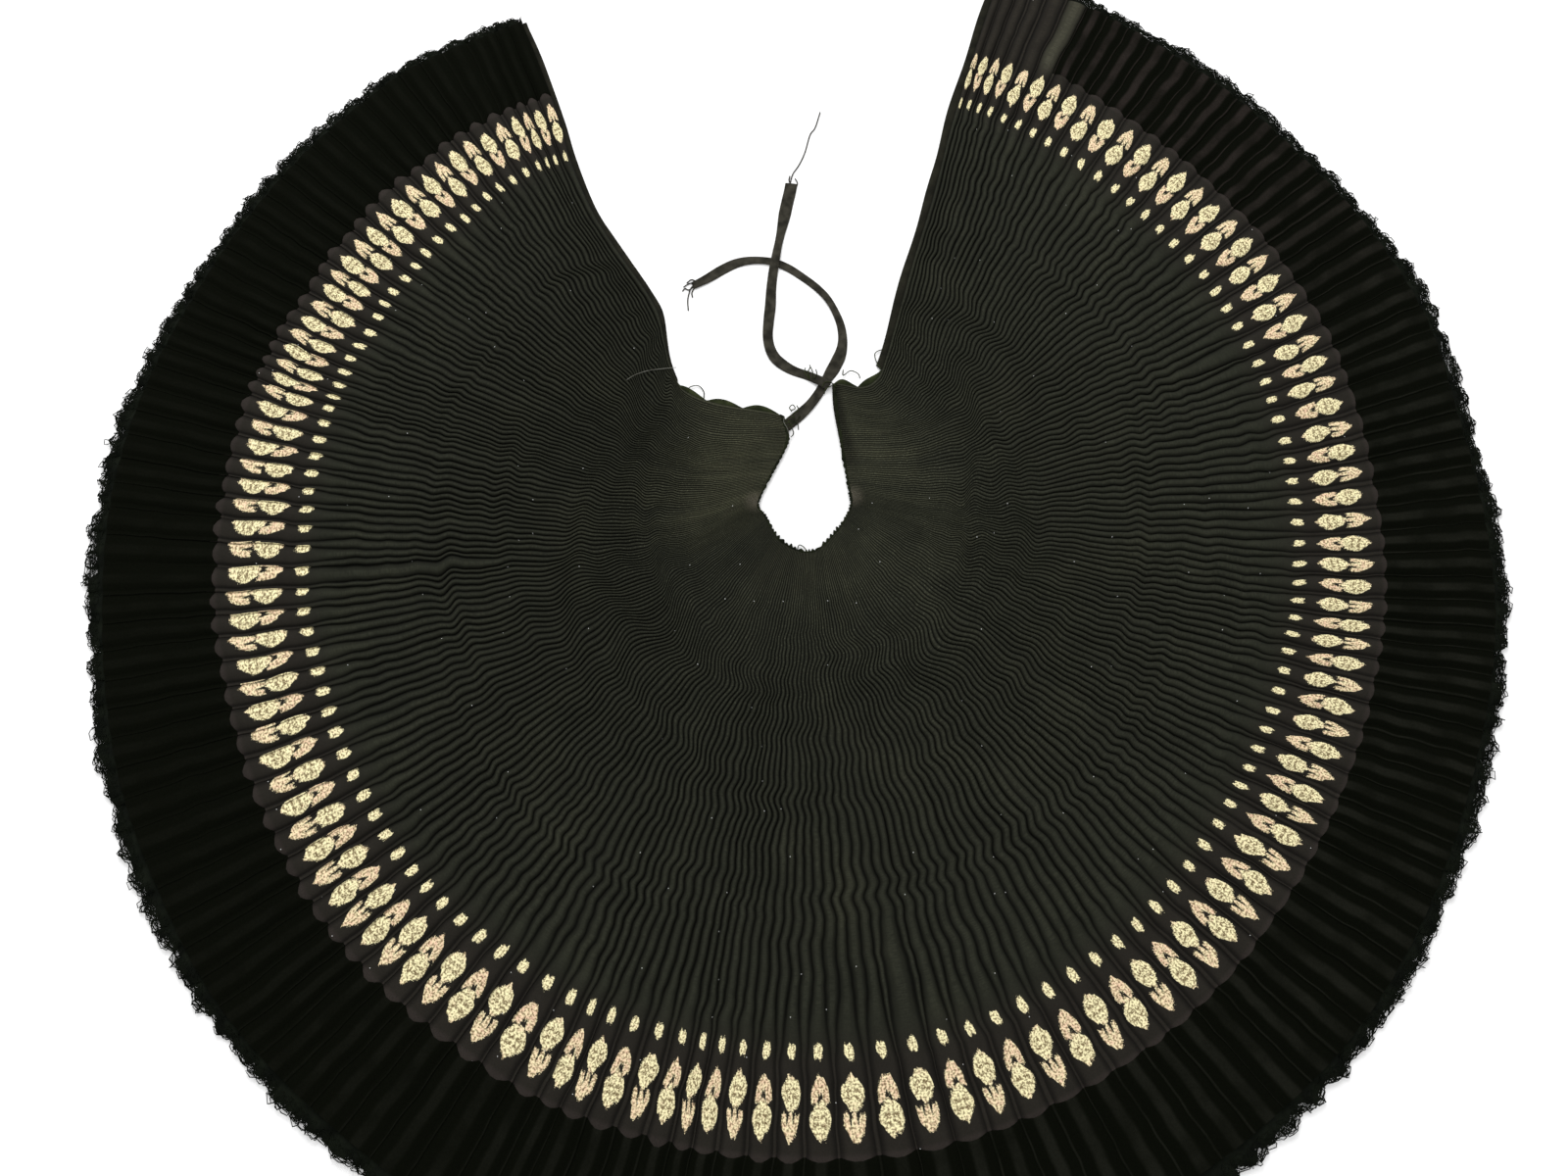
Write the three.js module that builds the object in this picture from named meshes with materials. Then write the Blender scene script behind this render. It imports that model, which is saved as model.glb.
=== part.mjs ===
// Pleated skirt laid flat and opened out round its waist. Millimetres, +Z up, resting on z = 0.
// The pleats run from the waist hole at the middle out to the lace round the hem. They are counted
// from the left edge of the opening, round the bottom, to its right edge.
import * as THREE from 'three';

// Driving sizes
const pleats = 131;
const seamGap = 0.3;
const clothValley = 0.28;          // share of a pleat that lies flat between two ridges
const trimValley = 0;              // velvet and lace turn sharply at the bottom of each valley
const seamPleats = [33, 71, 109];  // where the four widths of cloth are joined
const underlapPleat = 124;         // the velvet stops here, and the last pleats are bare cloth
const bandStart = 97;              // along a pleat, from the row of woven marks to the velvet
const bandEnd = 232;               // and to the lace
const hemReach = 247;              // and to the tips of the lace
const yokeReach = 125;             // from the waist to the end of the gathers
const binding = { width: 3.2, height: 5.4, steps: 65 };
const openingHem = { left: 7, right: 10, height: 2.6, start: 1.02 };
const scallop = { least: 2, bulge: 4, height: 2.4, steps: 24, start: 0.06, left: 3, right: 2 };
const tape = { width: 10, thickness: 1.4, leftSteps: 36, rightSteps: 34 };
const tapeLow = 1.2;               // height of the tape's middle where it lies on the surface
const tapeHigh = 3.6;              // and where it crosses over the other tape
const humpFullness = 1.25;         // above 1, the top of that hump is level for a while

// Where chosen pleats cross the waist edge, the end of the gathered yoke, the middle of the
// field, the row of woven marks and the tips of the lace
const guides = [
  { pleat: 0, waist: [-20, 157], yoke: [-152, 198], field: [-214, 342], marks: [-309, 532], hem: [-383, 757] },
  { pleat: 8, waist: [-14, 126], yoke: [-145, 139], field: [-285, 308], marks: [-413, 460], hem: [-574, 658] },
  { pleat: 20, waist: [-34, 82], yoke: [-158, 78], field: [-370, 162], marks: [-553, 242], hem: [-773, 355] },
  { pleat: 32, waist: [-51, 42], yoke: [-170, 2], field: [-389, -7], marks: [-589, -6], hem: [-835, 8] },
  { pleat: 44, waist: [-43, 26], yoke: [-140, -56], field: [-325, -192], marks: [-493, -299], hem: [-712, -414] },
  { pleat: 56, waist: [-24, -6], yoke: [-78, -124], field: [-175, -332], marks: [-260, -514], hem: [-378, -730] },
  { pleat: 68, waist: [11, -19], yoke: [15, -146], field: [25, -377], marks: [31, -577], hem: [44, -823] },
  { pleat: 80, waist: [41, 8], yoke: [102, -100], field: [248, -280], marks: [371, -439], hem: [539, -619] },
  { pleat: 92, waist: [57, 38], yoke: [165, -18], field: [360, -112], marks: [547, -178], hem: [786, -239] },
  { pleat: 104, waist: [55, 62], yoke: [180, 51], field: [392, 80], marks: [590, 110], hem: [829, 171] },
  { pleat: 116, waist: [45, 122], yoke: [165, 141], field: [325, 278], marks: [473, 415], hem: [651, 586] },
  { pleat: 124, waist: [38, 168], yoke: [130, 180], field: [236, 383], marks: [320, 566], hem: [437, 786] },
  { pleat: 131, waist: [37, 201], yoke: [99, 218], field: [160, 422], marks: [209, 612], hem: [282, 845] },
];
const rings = ['waist', 'yoke', 'field', 'marks', 'hem'];

// How far out a section lies, counted in rings, and the heights of the wall there: its top in a
// valley, its underside at a ridge and its top at a ridge
const bandFrom = 3 + bandStart / hemReach;
const bandTo = 3 + bandEnd / hemReach;
const yokeSections = [
  { out: 0.03, valley: 4.2, under: 0, ridge: 5.0 },
  { out: 1, valley: 2.6, under: 1.8, ridge: 4.8 },
];
const clothSections = [
  { out: 1, valley: 2.6, under: 1.8, ridge: 4.8 },
  { out: 1.5, valley: 2.0, under: 4.2, ridge: 6.4 },
  { out: 2, valley: 1.8, under: 5.2, ridge: 7.2 },
  { out: 3, valley: 1.6, under: 6.8, ridge: 8.4 },
  { out: bandFrom, valley: 1.6, under: 7.4, ridge: 9.0 },
];
const underlapSections = [
  { out: bandFrom, valley: 1.6, under: 7.4, ridge: 9.0 },
  { out: bandTo, valley: 1.6, under: 7.6, ridge: 9.2 },
];
const velvetSections = [
  { out: bandFrom, valley: 2.6, under: 7.6, ridge: 10.2 },
  { out: bandTo, valley: 2.4, under: 7.8, ridge: 10.2 },
];
const laceSections = [
  { out: bandTo, valley: 1.0, under: 7.8, ridge: 8.8 },
  { out: 4, valley: 1.0, under: 6.6, ridge: 7.6 },
];

// Routes of the two ties, from the corners of the waist to their free ends
const leftTieRoute = [
  [-11.2, 141.4], [-1, 157], [12, 174], [22, 191], [31, 208], [41, 226], [49, 245], [52, 264],
  [50, 285], [43, 306], [33, 325], [19, 341], [1, 356], [-17, 369], [-37, 378], [-60, 380],
  [-81, 376], [-100, 366], [-119, 353], [-138, 342],
];
const rightTieRoute = [
  [34.2, 198.6], [22, 206.5], [8, 214], [-7, 219.5], [-20, 227], [-32, 238], [-39, 252], [-42, 270],
  [-41, 292], [-39, 314], [-38, 336], [-36, 358], [-33, 378], [-30, 398], [-26, 420], [-22, 442],
  [-18, 464], [-14, 484], [-12, 497],
];
const tieCrossings = [{ at: [30, 204], reach: 26 }, { at: [-33, 378], reach: 34 }];

const materials = {
  cloth: new THREE.MeshStandardMaterial({ color: 0x25231e, roughness: 0.85, metalness: 0 }),
  hem: new THREE.MeshStandardMaterial({ color: 0x2f2b25, roughness: 0.85, metalness: 0 }),
  edging: new THREE.MeshStandardMaterial({ color: 0x23281a, roughness: 0.8, metalness: 0 }),
  velvet: new THREE.MeshStandardMaterial({ color: 0x0c0b0d, roughness: 0.95, metalness: 0 }),
  lace: new THREE.MeshStandardMaterial({ color: 0x12130f, roughness: 0.8, metalness: 0 }),
  tape: new THREE.MeshStandardMaterial({ color: 0x3a372f, roughness: 0.85, metalness: 0 }),
};

// Smooth curve through values at rising knots; its slope at a knot comes from the neighbours
function curve(knots, values, t) {
  const last = knots.length - 1;
  let k = 0;
  while (k < last - 1 && t > knots[k + 1]) k += 1;
  const slope = (i) => {
    const before = Math.max(i - 1, 0);
    const after = Math.min(i + 1, last);
    return (values[after] - values[before]) / (knots[after] - knots[before]);
  };
  const step = knots[k + 1] - knots[k];
  const f = (t - knots[k]) / step;
  const rise = f * f * (3 - 2 * f);
  return values[k] * (1 - rise) + values[k + 1] * rise
    + step * f * (1 - f) * ((1 - f) * slope(k) - f * slope(k + 1));
}

// Plan position of a place on the cloth, from its pleat and how far out it is
function place(pleat, out) {
  const knots = guides.map((guide) => guide.pleat);
  const [x, y] = [0, 1].map((axis) => {
    const crossings = rings.map((ring) => curve(knots, guides.map((guide) => guide[ring][axis]), pleat));
    return curve(rings.map((_, ring) => ring), crossings, out);
  });
  return new THREE.Vector2(x, y);
}

// The same place moved across the pleats, towards the right edge where shift is positive, and
// along them, outwards where reach is positive
function placeBeside(pleat, out, shift, reach = 0) {
  const step = 0.01;
  const across = place(pleat + step, out).sub(place(pleat - step, out)).normalize();
  const along = place(pleat, out + step).sub(place(pleat, out - step)).normalize();
  return place(pleat, out).addScaledVector(across, shift).addScaledVector(along, reach);
}

// The same on the wall as built, which runs straight from one section to the next
function placeOnWall(pleat, out, shift) {
  const outs = [yokeSections[0].out, ...clothSections.map((section) => section.out), bandTo];
  let k = 0;
  while (k < outs.length - 2 && out > outs[k + 1]) k += 1;
  const share = (out - outs[k]) / (outs[k + 1] - outs[k]);
  return placeBeside(pleat, outs[k], shift).lerp(placeBeside(pleat, outs[k + 1], shift), share);
}

// Closed solid over a grid of rows and columns, where at() gives {plan, low, high} for each point
function solidOver(rowCount, columnCount, at) {
  const high = [];
  const low = [];
  for (let row = 0; row < rowCount; row += 1) {
    for (let column = 0; column < columnCount; column += 1) {
      const point = at(row, column);
      high.push(point.plan.x, point.plan.y, point.high);
      low.push(point.plan.x, point.plan.y, point.low);
    }
  }
  const top = (row, column) => row * columnCount + column;
  const bottom = (row, column) => top(row, column) + rowCount * columnCount;
  const faces = [];
  const quad = (a, b, c, d) => faces.push(a, b, c, a, c, d);
  for (let row = 0; row + 1 < rowCount; row += 1) {
    for (let column = 0; column + 1 < columnCount; column += 1) {
      quad(top(row, column), top(row + 1, column), top(row + 1, column + 1), top(row, column + 1));
      const next = row + 1;
      quad(bottom(row, column), bottom(row, column + 1), bottom(next, column + 1), bottom(next, column));
    }
    const end = columnCount - 1;
    quad(top(row, 0), bottom(row, 0), bottom(row + 1, 0), top(row + 1, 0));
    quad(top(row, end), top(row + 1, end), bottom(row + 1, end), bottom(row, end));
  }
  for (let column = 0; column + 1 < columnCount; column += 1) {
    const end = rowCount - 1;
    quad(top(0, column), top(0, column + 1), bottom(0, column + 1), bottom(0, column));
    quad(top(end, column), bottom(end, column), bottom(end, column + 1), top(end, column + 1));
  }
  const geometry = new THREE.BufferGeometry();
  geometry.setAttribute('position', new THREE.Float32BufferAttribute([...high, ...low], 3));
  geometry.setIndex(faces);
  geometry.computeVertexNormals();
  return geometry;
}

// Columns of a stretch of pleats, drawn in at both seams: a ridge for each, between two valleys
// that lie flat over their share of a pleat
function pleatColumns(from, to, valley) {
  const columns = [{ pleat: from, ridge: false, shift: seamGap / 2 }];
  for (let pleat = from; pleat < to; pleat += 1) {
    if (valley > 0) columns.push({ pleat: pleat + valley / 2, ridge: false, shift: 0 });
    columns.push({ pleat: pleat + 0.5, ridge: true, shift: 0 });
    if (valley > 0) columns.push({ pleat: pleat + 1 - valley / 2, ridge: false, shift: 0 });
    else if (pleat + 1 < to) columns.push({ pleat: pleat + 1, ridge: false, shift: 0 });
  }
  columns.push({ pleat: to, ridge: false, shift: -seamGap / 2 });
  return columns;
}

// Pleated wall of even thickness from one section to the last, drawn in at its inner and outer seam
function pleatedWall(sections, from, to, valley) {
  const columns = pleatColumns(from, to, valley);
  const last = sections.length - 1;
  return solidOver(sections.length, columns.length, (row, column) => {
    const section = sections[row];
    const { pleat, ridge, shift } = columns[column];
    const reach = (seamGap / 2) * ((row === 0 ? 1 : 0) - (row === last ? 1 : 0));
    return {
      plan: placeBeside(pleat, section.out, shift, reach),
      low: ridge ? section.under : 0,
      high: ridge ? section.ridge : section.valley,
    };
  });
}

// Flat strip that lies beside an edge of the opening; side is -1 at the left edge and 1 at the right
function edgeStrip(side, outs, width, height) {
  const edge = side < 0 ? 0 : pleats;
  return solidOver(outs.length, 2, (row, column) => {
    const outer = (column === 1) === (side > 0);
    const away = seamGap + (outer ? width(row / (outs.length - 1)) : 0);
    return { plan: placeOnWall(edge, outs[row], side * away), low: 0, high: height };
  });
}

// Narrow binding round the waist hole, just inside the ends of the pleats
function waistBinding() {
  const width = binding.width / yokeReach;
  return solidOver(2, binding.steps + 1, (row, step) => ({
    plan: place((step / binding.steps) * pleats, row * width),
    low: seamGap,
    high: binding.height,
  }));
}

// Height of a tie over the surface: it lies low, and rises over each crossing in a long hump
function crossingHeight(x, y) {
  const rises = tieCrossings.map(({ at, reach }) => {
    const away = Math.min(Math.hypot(x - at[0], y - at[1]) / reach, 1);
    return 0.5 + 0.5 * Math.cos(Math.PI * away);
  });
  return tapeLow + (tapeHigh - tapeLow) * Math.min(1, humpFullness * Math.max(...rises));
}

// Flat tape swept along a route
function sweptTape(route, heightAt, steps) {
  const path = new THREE.CatmullRomCurve3(
    route.map(([x, y]) => new THREE.Vector3(x, y, heightAt(x, y))), false, 'centripetal',
  );
  const [half, quarter] = [tape.thickness / 2, tape.thickness / 4];
  const section = new THREE.Shape([
    [quarter, tape.width / 2], [-quarter, tape.width / 2], [-half, tape.width / 4],
    [-half, -tape.width / 4], [-quarter, -tape.width / 2], [quarter, -tape.width / 2],
    [half, -tape.width / 4], [half, tape.width / 4],
  ].map(([x, y]) => new THREE.Vector2(x, y)));
  return new THREE.ExtrudeGeometry(section, { steps, extrudePath: path, bevelEnabled: false });
}

function scallopWidth(count) {
  return (along) => scallop.least + scallop.bulge * Math.abs(Math.sin(Math.PI * count * along));
}

function evenly(from, to, steps) {
  return Array.from({ length: steps + 1 }, (_, i) => from + ((to - from) * i) / steps);
}

const skirt = new THREE.Group();
function add(name, geometry, material) {
  const mesh = new THREE.Mesh(geometry, material);
  mesh.name = name;
  skirt.add(mesh);
}

// Each width of cloth is gathered into the yoke at its top and pleated below it
const widths = ['left', 'back', 'right', 'front'];
const widthEdges = [0, ...seamPleats, pleats];
widths.forEach((width, i) => {
  const [from, to] = [widthEdges[i], widthEdges[i + 1]];
  add(`yoke_${width}`, pleatedWall(yokeSections, from, to, clothValley), materials.cloth);
  add(`panel_${width}`, pleatedWall(clothSections, from, to, clothValley), materials.cloth);
});
add('hem_underlap', pleatedWall(underlapSections, underlapPleat, pleats, clothValley), materials.cloth);
add('velvet_band', pleatedWall(velvetSections, 0, underlapPleat, trimValley), materials.velvet);
add('lace_edging', pleatedWall(laceSections, 0, pleats, trimValley), materials.lace);
add('waist_binding', waistBinding(), materials.edging);

const hemOuts = [openingHem.start, ...clothSections.slice(1).map((section) => section.out), bandTo];
const yokeOuts = evenly(scallop.start, 1, scallop.steps);
add('opening_hem_left', edgeStrip(-1, hemOuts, () => openingHem.left, openingHem.height), materials.hem);
add('opening_hem_right', edgeStrip(1, hemOuts, () => openingHem.right, openingHem.height), materials.hem);
const yokeEdging = (side, count) => edgeStrip(side, yokeOuts, scallopWidth(count), scallop.height);
add('yoke_edging_left', yokeEdging(-1, scallop.left), materials.edging);
add('yoke_edging_right', yokeEdging(1, scallop.right), materials.edging);

add('tie_left', sweptTape(leftTieRoute, () => tapeLow, tape.leftSteps), materials.tape);
add('tie_right', sweptTape(rightTieRoute, crossingHeight, tape.rightSteps), materials.tape);

// The origin is under the middle of the cloth; the ties lie inside its outline
skirt.updateMatrixWorld(true);
const middle = new THREE.Box3().setFromObject(skirt, true).getCenter(new THREE.Vector3());
skirt.position.set(-middle.x, -middle.y, 0);

export default skirt;
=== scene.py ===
"""Pleated skirt laid flat and opened out round its waist hole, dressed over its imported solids.

Metres, +Z up, on the surface at z = 0. The pleats run from the waist hole to the lace round the
hem, and are counted from the left edge of the opening, round the bottom, to its right edge.
"""

import logging
import math
from dataclasses import dataclass
from enum import Enum
from typing import Sequence

import bpy
import numpy as np
from mathutils import Matrix, Vector


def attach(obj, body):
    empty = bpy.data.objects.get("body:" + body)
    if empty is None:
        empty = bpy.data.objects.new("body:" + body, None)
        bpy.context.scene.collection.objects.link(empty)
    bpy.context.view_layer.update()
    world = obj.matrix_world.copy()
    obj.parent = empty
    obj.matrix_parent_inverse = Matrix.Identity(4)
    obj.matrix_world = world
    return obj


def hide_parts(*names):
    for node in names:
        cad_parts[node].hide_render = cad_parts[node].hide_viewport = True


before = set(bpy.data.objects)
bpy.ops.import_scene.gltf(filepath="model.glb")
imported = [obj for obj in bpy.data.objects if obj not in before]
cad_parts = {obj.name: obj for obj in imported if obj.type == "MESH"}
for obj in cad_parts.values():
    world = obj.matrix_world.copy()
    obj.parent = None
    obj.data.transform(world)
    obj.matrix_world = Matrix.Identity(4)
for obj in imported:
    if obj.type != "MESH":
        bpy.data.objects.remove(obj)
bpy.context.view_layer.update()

BODY = "root"
LOG = logging.getLogger("skirt")

Colour = tuple[float, float, float]
Point = tuple[float, float]
Pair = tuple[float, float]
Place = tuple[float, float, float]


class Slot(Enum):
    """Material slots of the record."""

    CLOTH = "cloth"
    HEM = "opening_hem"
    EDGING = "edging"
    VELVET = "velvet"
    LACE = "lace"
    TAPE = "tape"


# Curves and drifts

def hermite(low: np.ndarray, high: np.ndarray, slope_low: np.ndarray, slope_high: np.ndarray,
            share: np.ndarray, step: np.ndarray) -> np.ndarray:
    """Smooth value between two knots.

    Args:
        low: value at the knot before.
        high: value at the knot after.
        slope_low: slope at the knot before.
        slope_high: slope at the knot after.
        share: share of the way from one knot to the other.
        step: distance between the knots.

    Returns:
        The value there.
    """
    rise = share * share * (3 - 2 * share)
    bend = step * share * (1 - share) * ((1 - share) * slope_low - share * slope_high)
    return low * (1 - rise) + high * rise + bend


def knot_slopes(knots: np.ndarray, values: np.ndarray) -> np.ndarray:
    """Slope at each knot from its neighbours.

    Args:
        knots: rising knots along the first axis.
        values: values at the knots, with any further axes.

    Returns:
        Slopes in the shape of values.
    """
    before = np.maximum(np.arange(len(knots)) - 1, 0)
    after = np.minimum(np.arange(len(knots)) + 1, len(knots) - 1)
    run = (knots[after] - knots[before]).reshape(-1, *[1] * (values.ndim - 1))
    return (values[after] - values[before]) / run


def smooth_curve(knots: Sequence[float], values: Sequence[float], at: np.ndarray) -> np.ndarray:
    """Smooth curve through values at rising knots, level beyond its ends.

    Args:
        knots: rising knots.
        values: value, or row of values, at each knot.
        at: where the curve is read.

    Returns:
        The curve's values.
    """
    knots, values = np.asarray(knots, float), np.asarray(values, float)
    slopes = knot_slopes(knots, values)
    at = np.clip(at, knots[0], knots[-1])
    low = np.clip(np.searchsorted(knots, at, side="right") - 1, 0, len(knots) - 2)
    step = knots[low + 1] - knots[low]
    share = (at - knots[low]) / step
    if values.ndim > 1:
        step, share = step[..., None], share[..., None]
    return hermite(values[low], values[low + 1], slopes[low], slopes[low + 1], share, step)


def at_ring(values: np.ndarray, ring: np.ndarray) -> np.ndarray:
    """Values of one ring at each place.

    Args:
        values: values by ring, then by place.
        ring: ring of each place.

    Returns:
        One row of values for each place.
    """
    return np.take_along_axis(values, ring[None, ..., None], 0)[0]


@dataclass(frozen=True)
class Curve:
    """Smooth curve through values at rising knots, level beyond its ends."""

    knots: tuple[float, ...]
    values: tuple

    def at(self, place: np.ndarray) -> np.ndarray:
        """Values of the curve at places."""
        return smooth_curve(self.knots, self.values, place)


class Drift:
    """Smooth random drift over two directions, the same each run."""

    def __init__(self, seed: int, cells: Pair) -> None:
        """Draws the drift's values.

        Args:
            seed: seed of the draw.
            cells: size of a cell of the drift in each direction.
        """
        self.values = np.random.default_rng(seed).uniform(-1, 1, (97, 89))
        self.cells = cells

    def at(self, first: np.ndarray, second: np.ndarray) -> np.ndarray:
        """Drift at places.

        Args:
            first: place in the first direction.
            second: place in the second direction.

        Returns:
            Values from -1 to 1.
        """
        first, second = np.asarray(first) / self.cells[0] + 7, np.asarray(second) / self.cells[1] + 5
        row, column = np.floor(first).astype(int), np.floor(second).astype(int)
        u, v = first - row, second - column
        u, v = u * u * (3 - 2 * u), v * v * (3 - 2 * v)
        low = self.cell(row, column) * (1 - u) + self.cell(row + 1, column) * u
        high = self.cell(row, column + 1) * (1 - u) + self.cell(row + 1, column + 1) * u
        return low * (1 - v) + high * v

    def cell(self, row: np.ndarray, column: np.ndarray) -> np.ndarray:
        """Drawn values at cells, which repeat beyond the table."""
        rows, columns = self.values.shape
        return self.values[row % rows, column % columns]


# Layout of the pleats

@dataclass(frozen=True)
class Guide:
    """Where one pleat crosses the waist, the yoke's end, the field, the woven marks and the hem."""

    pleat: float
    waist: Point
    yoke: Point
    field: Point
    marks: Point
    hem: Point


GUIDES = (
    Guide(0, (-0.020, 0.157), (-0.152, 0.198), (-0.214, 0.342), (-0.309, 0.532), (-0.383, 0.757)),
    Guide(8, (-0.014, 0.126), (-0.145, 0.139), (-0.285, 0.308), (-0.413, 0.460), (-0.574, 0.658)),
    Guide(20, (-0.034, 0.082), (-0.158, 0.078), (-0.370, 0.162), (-0.553, 0.242), (-0.773, 0.355)),
    Guide(32, (-0.051, 0.042), (-0.170, 0.002), (-0.389, -0.007), (-0.589, -0.006), (-0.835, 0.008)),
    Guide(44, (-0.043, 0.026), (-0.140, -0.056), (-0.325, -0.192), (-0.493, -0.299), (-0.712, -0.414)),
    Guide(56, (-0.024, -0.006), (-0.078, -0.124), (-0.175, -0.332), (-0.260, -0.514), (-0.378, -0.730)),
    Guide(68, (0.011, -0.019), (0.015, -0.146), (0.025, -0.377), (0.031, -0.577), (0.044, -0.823)),
    Guide(80, (0.041, 0.008), (0.102, -0.100), (0.248, -0.280), (0.371, -0.439), (0.539, -0.619)),
    Guide(92, (0.057, 0.038), (0.165, -0.018), (0.360, -0.112), (0.547, -0.178), (0.786, -0.239)),
    Guide(104, (0.055, 0.062), (0.180, 0.051), (0.392, 0.080), (0.590, 0.110), (0.829, 0.171)),
    Guide(116, (0.045, 0.122), (0.165, 0.141), (0.325, 0.278), (0.473, 0.415), (0.651, 0.586)),
    Guide(124, (0.038, 0.168), (0.130, 0.180), (0.236, 0.383), (0.320, 0.566), (0.437, 0.786)),
    Guide(131, (0.037, 0.201), (0.099, 0.218), (0.160, 0.422), (0.209, 0.612), (0.282, 0.845)),
)
PLEATS = 131


@dataclass(frozen=True)
class Stray:
    """How far the pleats stray from even spacing: sideways in pleats, and outwards in metres."""

    pleat: float
    aside: float
    outwards: float


STRAYS = tuple(Stray(*row) for row in (
    (0, 0, 0), (1.5, -0.35, 0.004), (3.5, -0.94, 0.007), (5.5, -0.44, 0.002), (7.5, 0.01, 0.003),
    (9.5, 0.2, 0.001), (10.5, 0.28, 0.007), (12.5, 0.39, 0.007), (14.5, 0.28, 0.004),
    (15.5, 0.36, 0.006), (17.5, 0.14, 0.001), (18.5, 0.26, -0.002), (20, 0.2, 0.004), (22.5, 0, 0.001),
    (24.5, -0.36, 0.002), (26.5, -0.22, 0), (28.5, -0.01, -0.001), (30.5, 0.1, -0.001),
    (32.5, 0.37, 0.002), (33.5, 0.52, 0.004), (35.5, 0.46, 0.006), (37.5, 0.32, 0.002), (40.5, 0.12, 0),
    (44.5, 0.16, 0.001), (47.5, 0.02, 0.006), (50.5, -0.31, 0.005), (52.5, -0.32, 0.003),
    (54.5, -0.18, 0), (56.5, 0.25, 0.001), (58.5, 0.14, 0), (61.5, 0.22, -0.005), (63.5, -0.14, -0.005),
    (65.5, -0.25, -0.005), (67.5, -0.15, -0.002), (69.5, 0.25, 0.006), (71.5, 0.35, 0.012),
    (73.5, 0.15, 0.013), (76.5, 0, 0.007), (79.5, -0.05, 0), (82.5, 0.2, -0.006), (85.5, 0.4, -0.004),
    (87.5, 0.2, -0.002), (90.5, 0.05, 0.001), (93.5, 0, 0), (96.5, -0.35, 0.001), (99.5, -0.4, -0.001),
    (101.5, -0.2, -0.003), (104.5, 0.05, 0.002), (106, 0.2, 0.004), (108.5, 0.05, 0.01),
    (111.5, 0, 0.011), (113.5, -0.1, 0.01), (115.5, 0, 0.002), (117.5, 0.03, -0.002),
    (120.5, -0.1, -0.002), (124.5, 0.1, 0.002), (126.5, 0.5, 0.006), (127.5, 0.74, 0.012),
    (129.5, 0.6, 0.015), (130.5, 0.3, 0.013), (131, 0, 0.012),
))
STRAY_CURVE = Curve(tuple(stray.pleat for stray in STRAYS),
                    tuple((stray.aside, stray.outwards) for stray in STRAYS))
ASIDE_SHARE = Curve((0.4, 1.6, 3.0), (0, 0.7, 1.0))      # share of the sideways stray, by ring
OUTWARDS_SHARE = Curve((0.6, 1.8, 3.0, 3.3, 3.94), (0, 0.6, 1.0, 1.0, 0))

# How far the velvet's outer edge swings out and in, in metres, by pleat
HEM_SWING = Curve(
    (0, 2, 5, 8, 13, 20, 28, 33, 40, 44, 48, 53, 64, 75, 80, 90, 96, 100, 104, 108, 112, 116, 120, 131),
    (0.012, 0.008, 0.001, -0.004, -0.001, -0.004, 0.0, 0.003, 0.004, 0.001, 0.008, 0.004, 0.003, 0.006,
     -0.004, -0.003, -0.002, -0.007, -0.007, 0.011, 0.011, -0.003, -0.006, -0.004))
HEM_SHARE = Curve((3.3, 3.9), (0, 1))                  # share of it, by ring

# How far the opening's edges spread beside the yoke, in pleats, and over how many pleats
LEFT_SPREAD = -2.6
RIGHT_SPREAD = 0.5
SPREAD_PLEATS = 7
SPREAD_SHARE = Curve((0.98, 1.12, 1.30, 1.60, 1.90, 2.20, 2.50), (0, 0.75, 1.15, 1.0, 0.5, 0.15, 0))

# And the left edge beside the border
BORDER_SPREAD = -0.55
BORDER_SPREAD_PLEATS = 3
BORDER_SPREAD_SHARE = Curve((2.6, 3.0, 3.25, 3.6, 3.9), (0, 0.6, 1.0, 0.5, 0))

SEAMS = (33, 71, 109)            # where the widths of cloth are joined
UNDERLAP = 125                   # the velvet stops at this pleat
TABLE_SHIFT = np.array((-0.000868, -0.008842))   # from the guides to the frame's origin
RING_REACH = 0.26                # usual distance between rings of the guides
HEM_REACH = 0.247                # along a pleat, from the marks to the tips of the lace
BAND_START = 0.106               # and from the marks to the velvet
BAND_END = 0.232                 # and to the lace
BAND_FROM = 3 + BAND_START / HEM_REACH
BAND_TO = 3 + BAND_END / HEM_REACH


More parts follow.
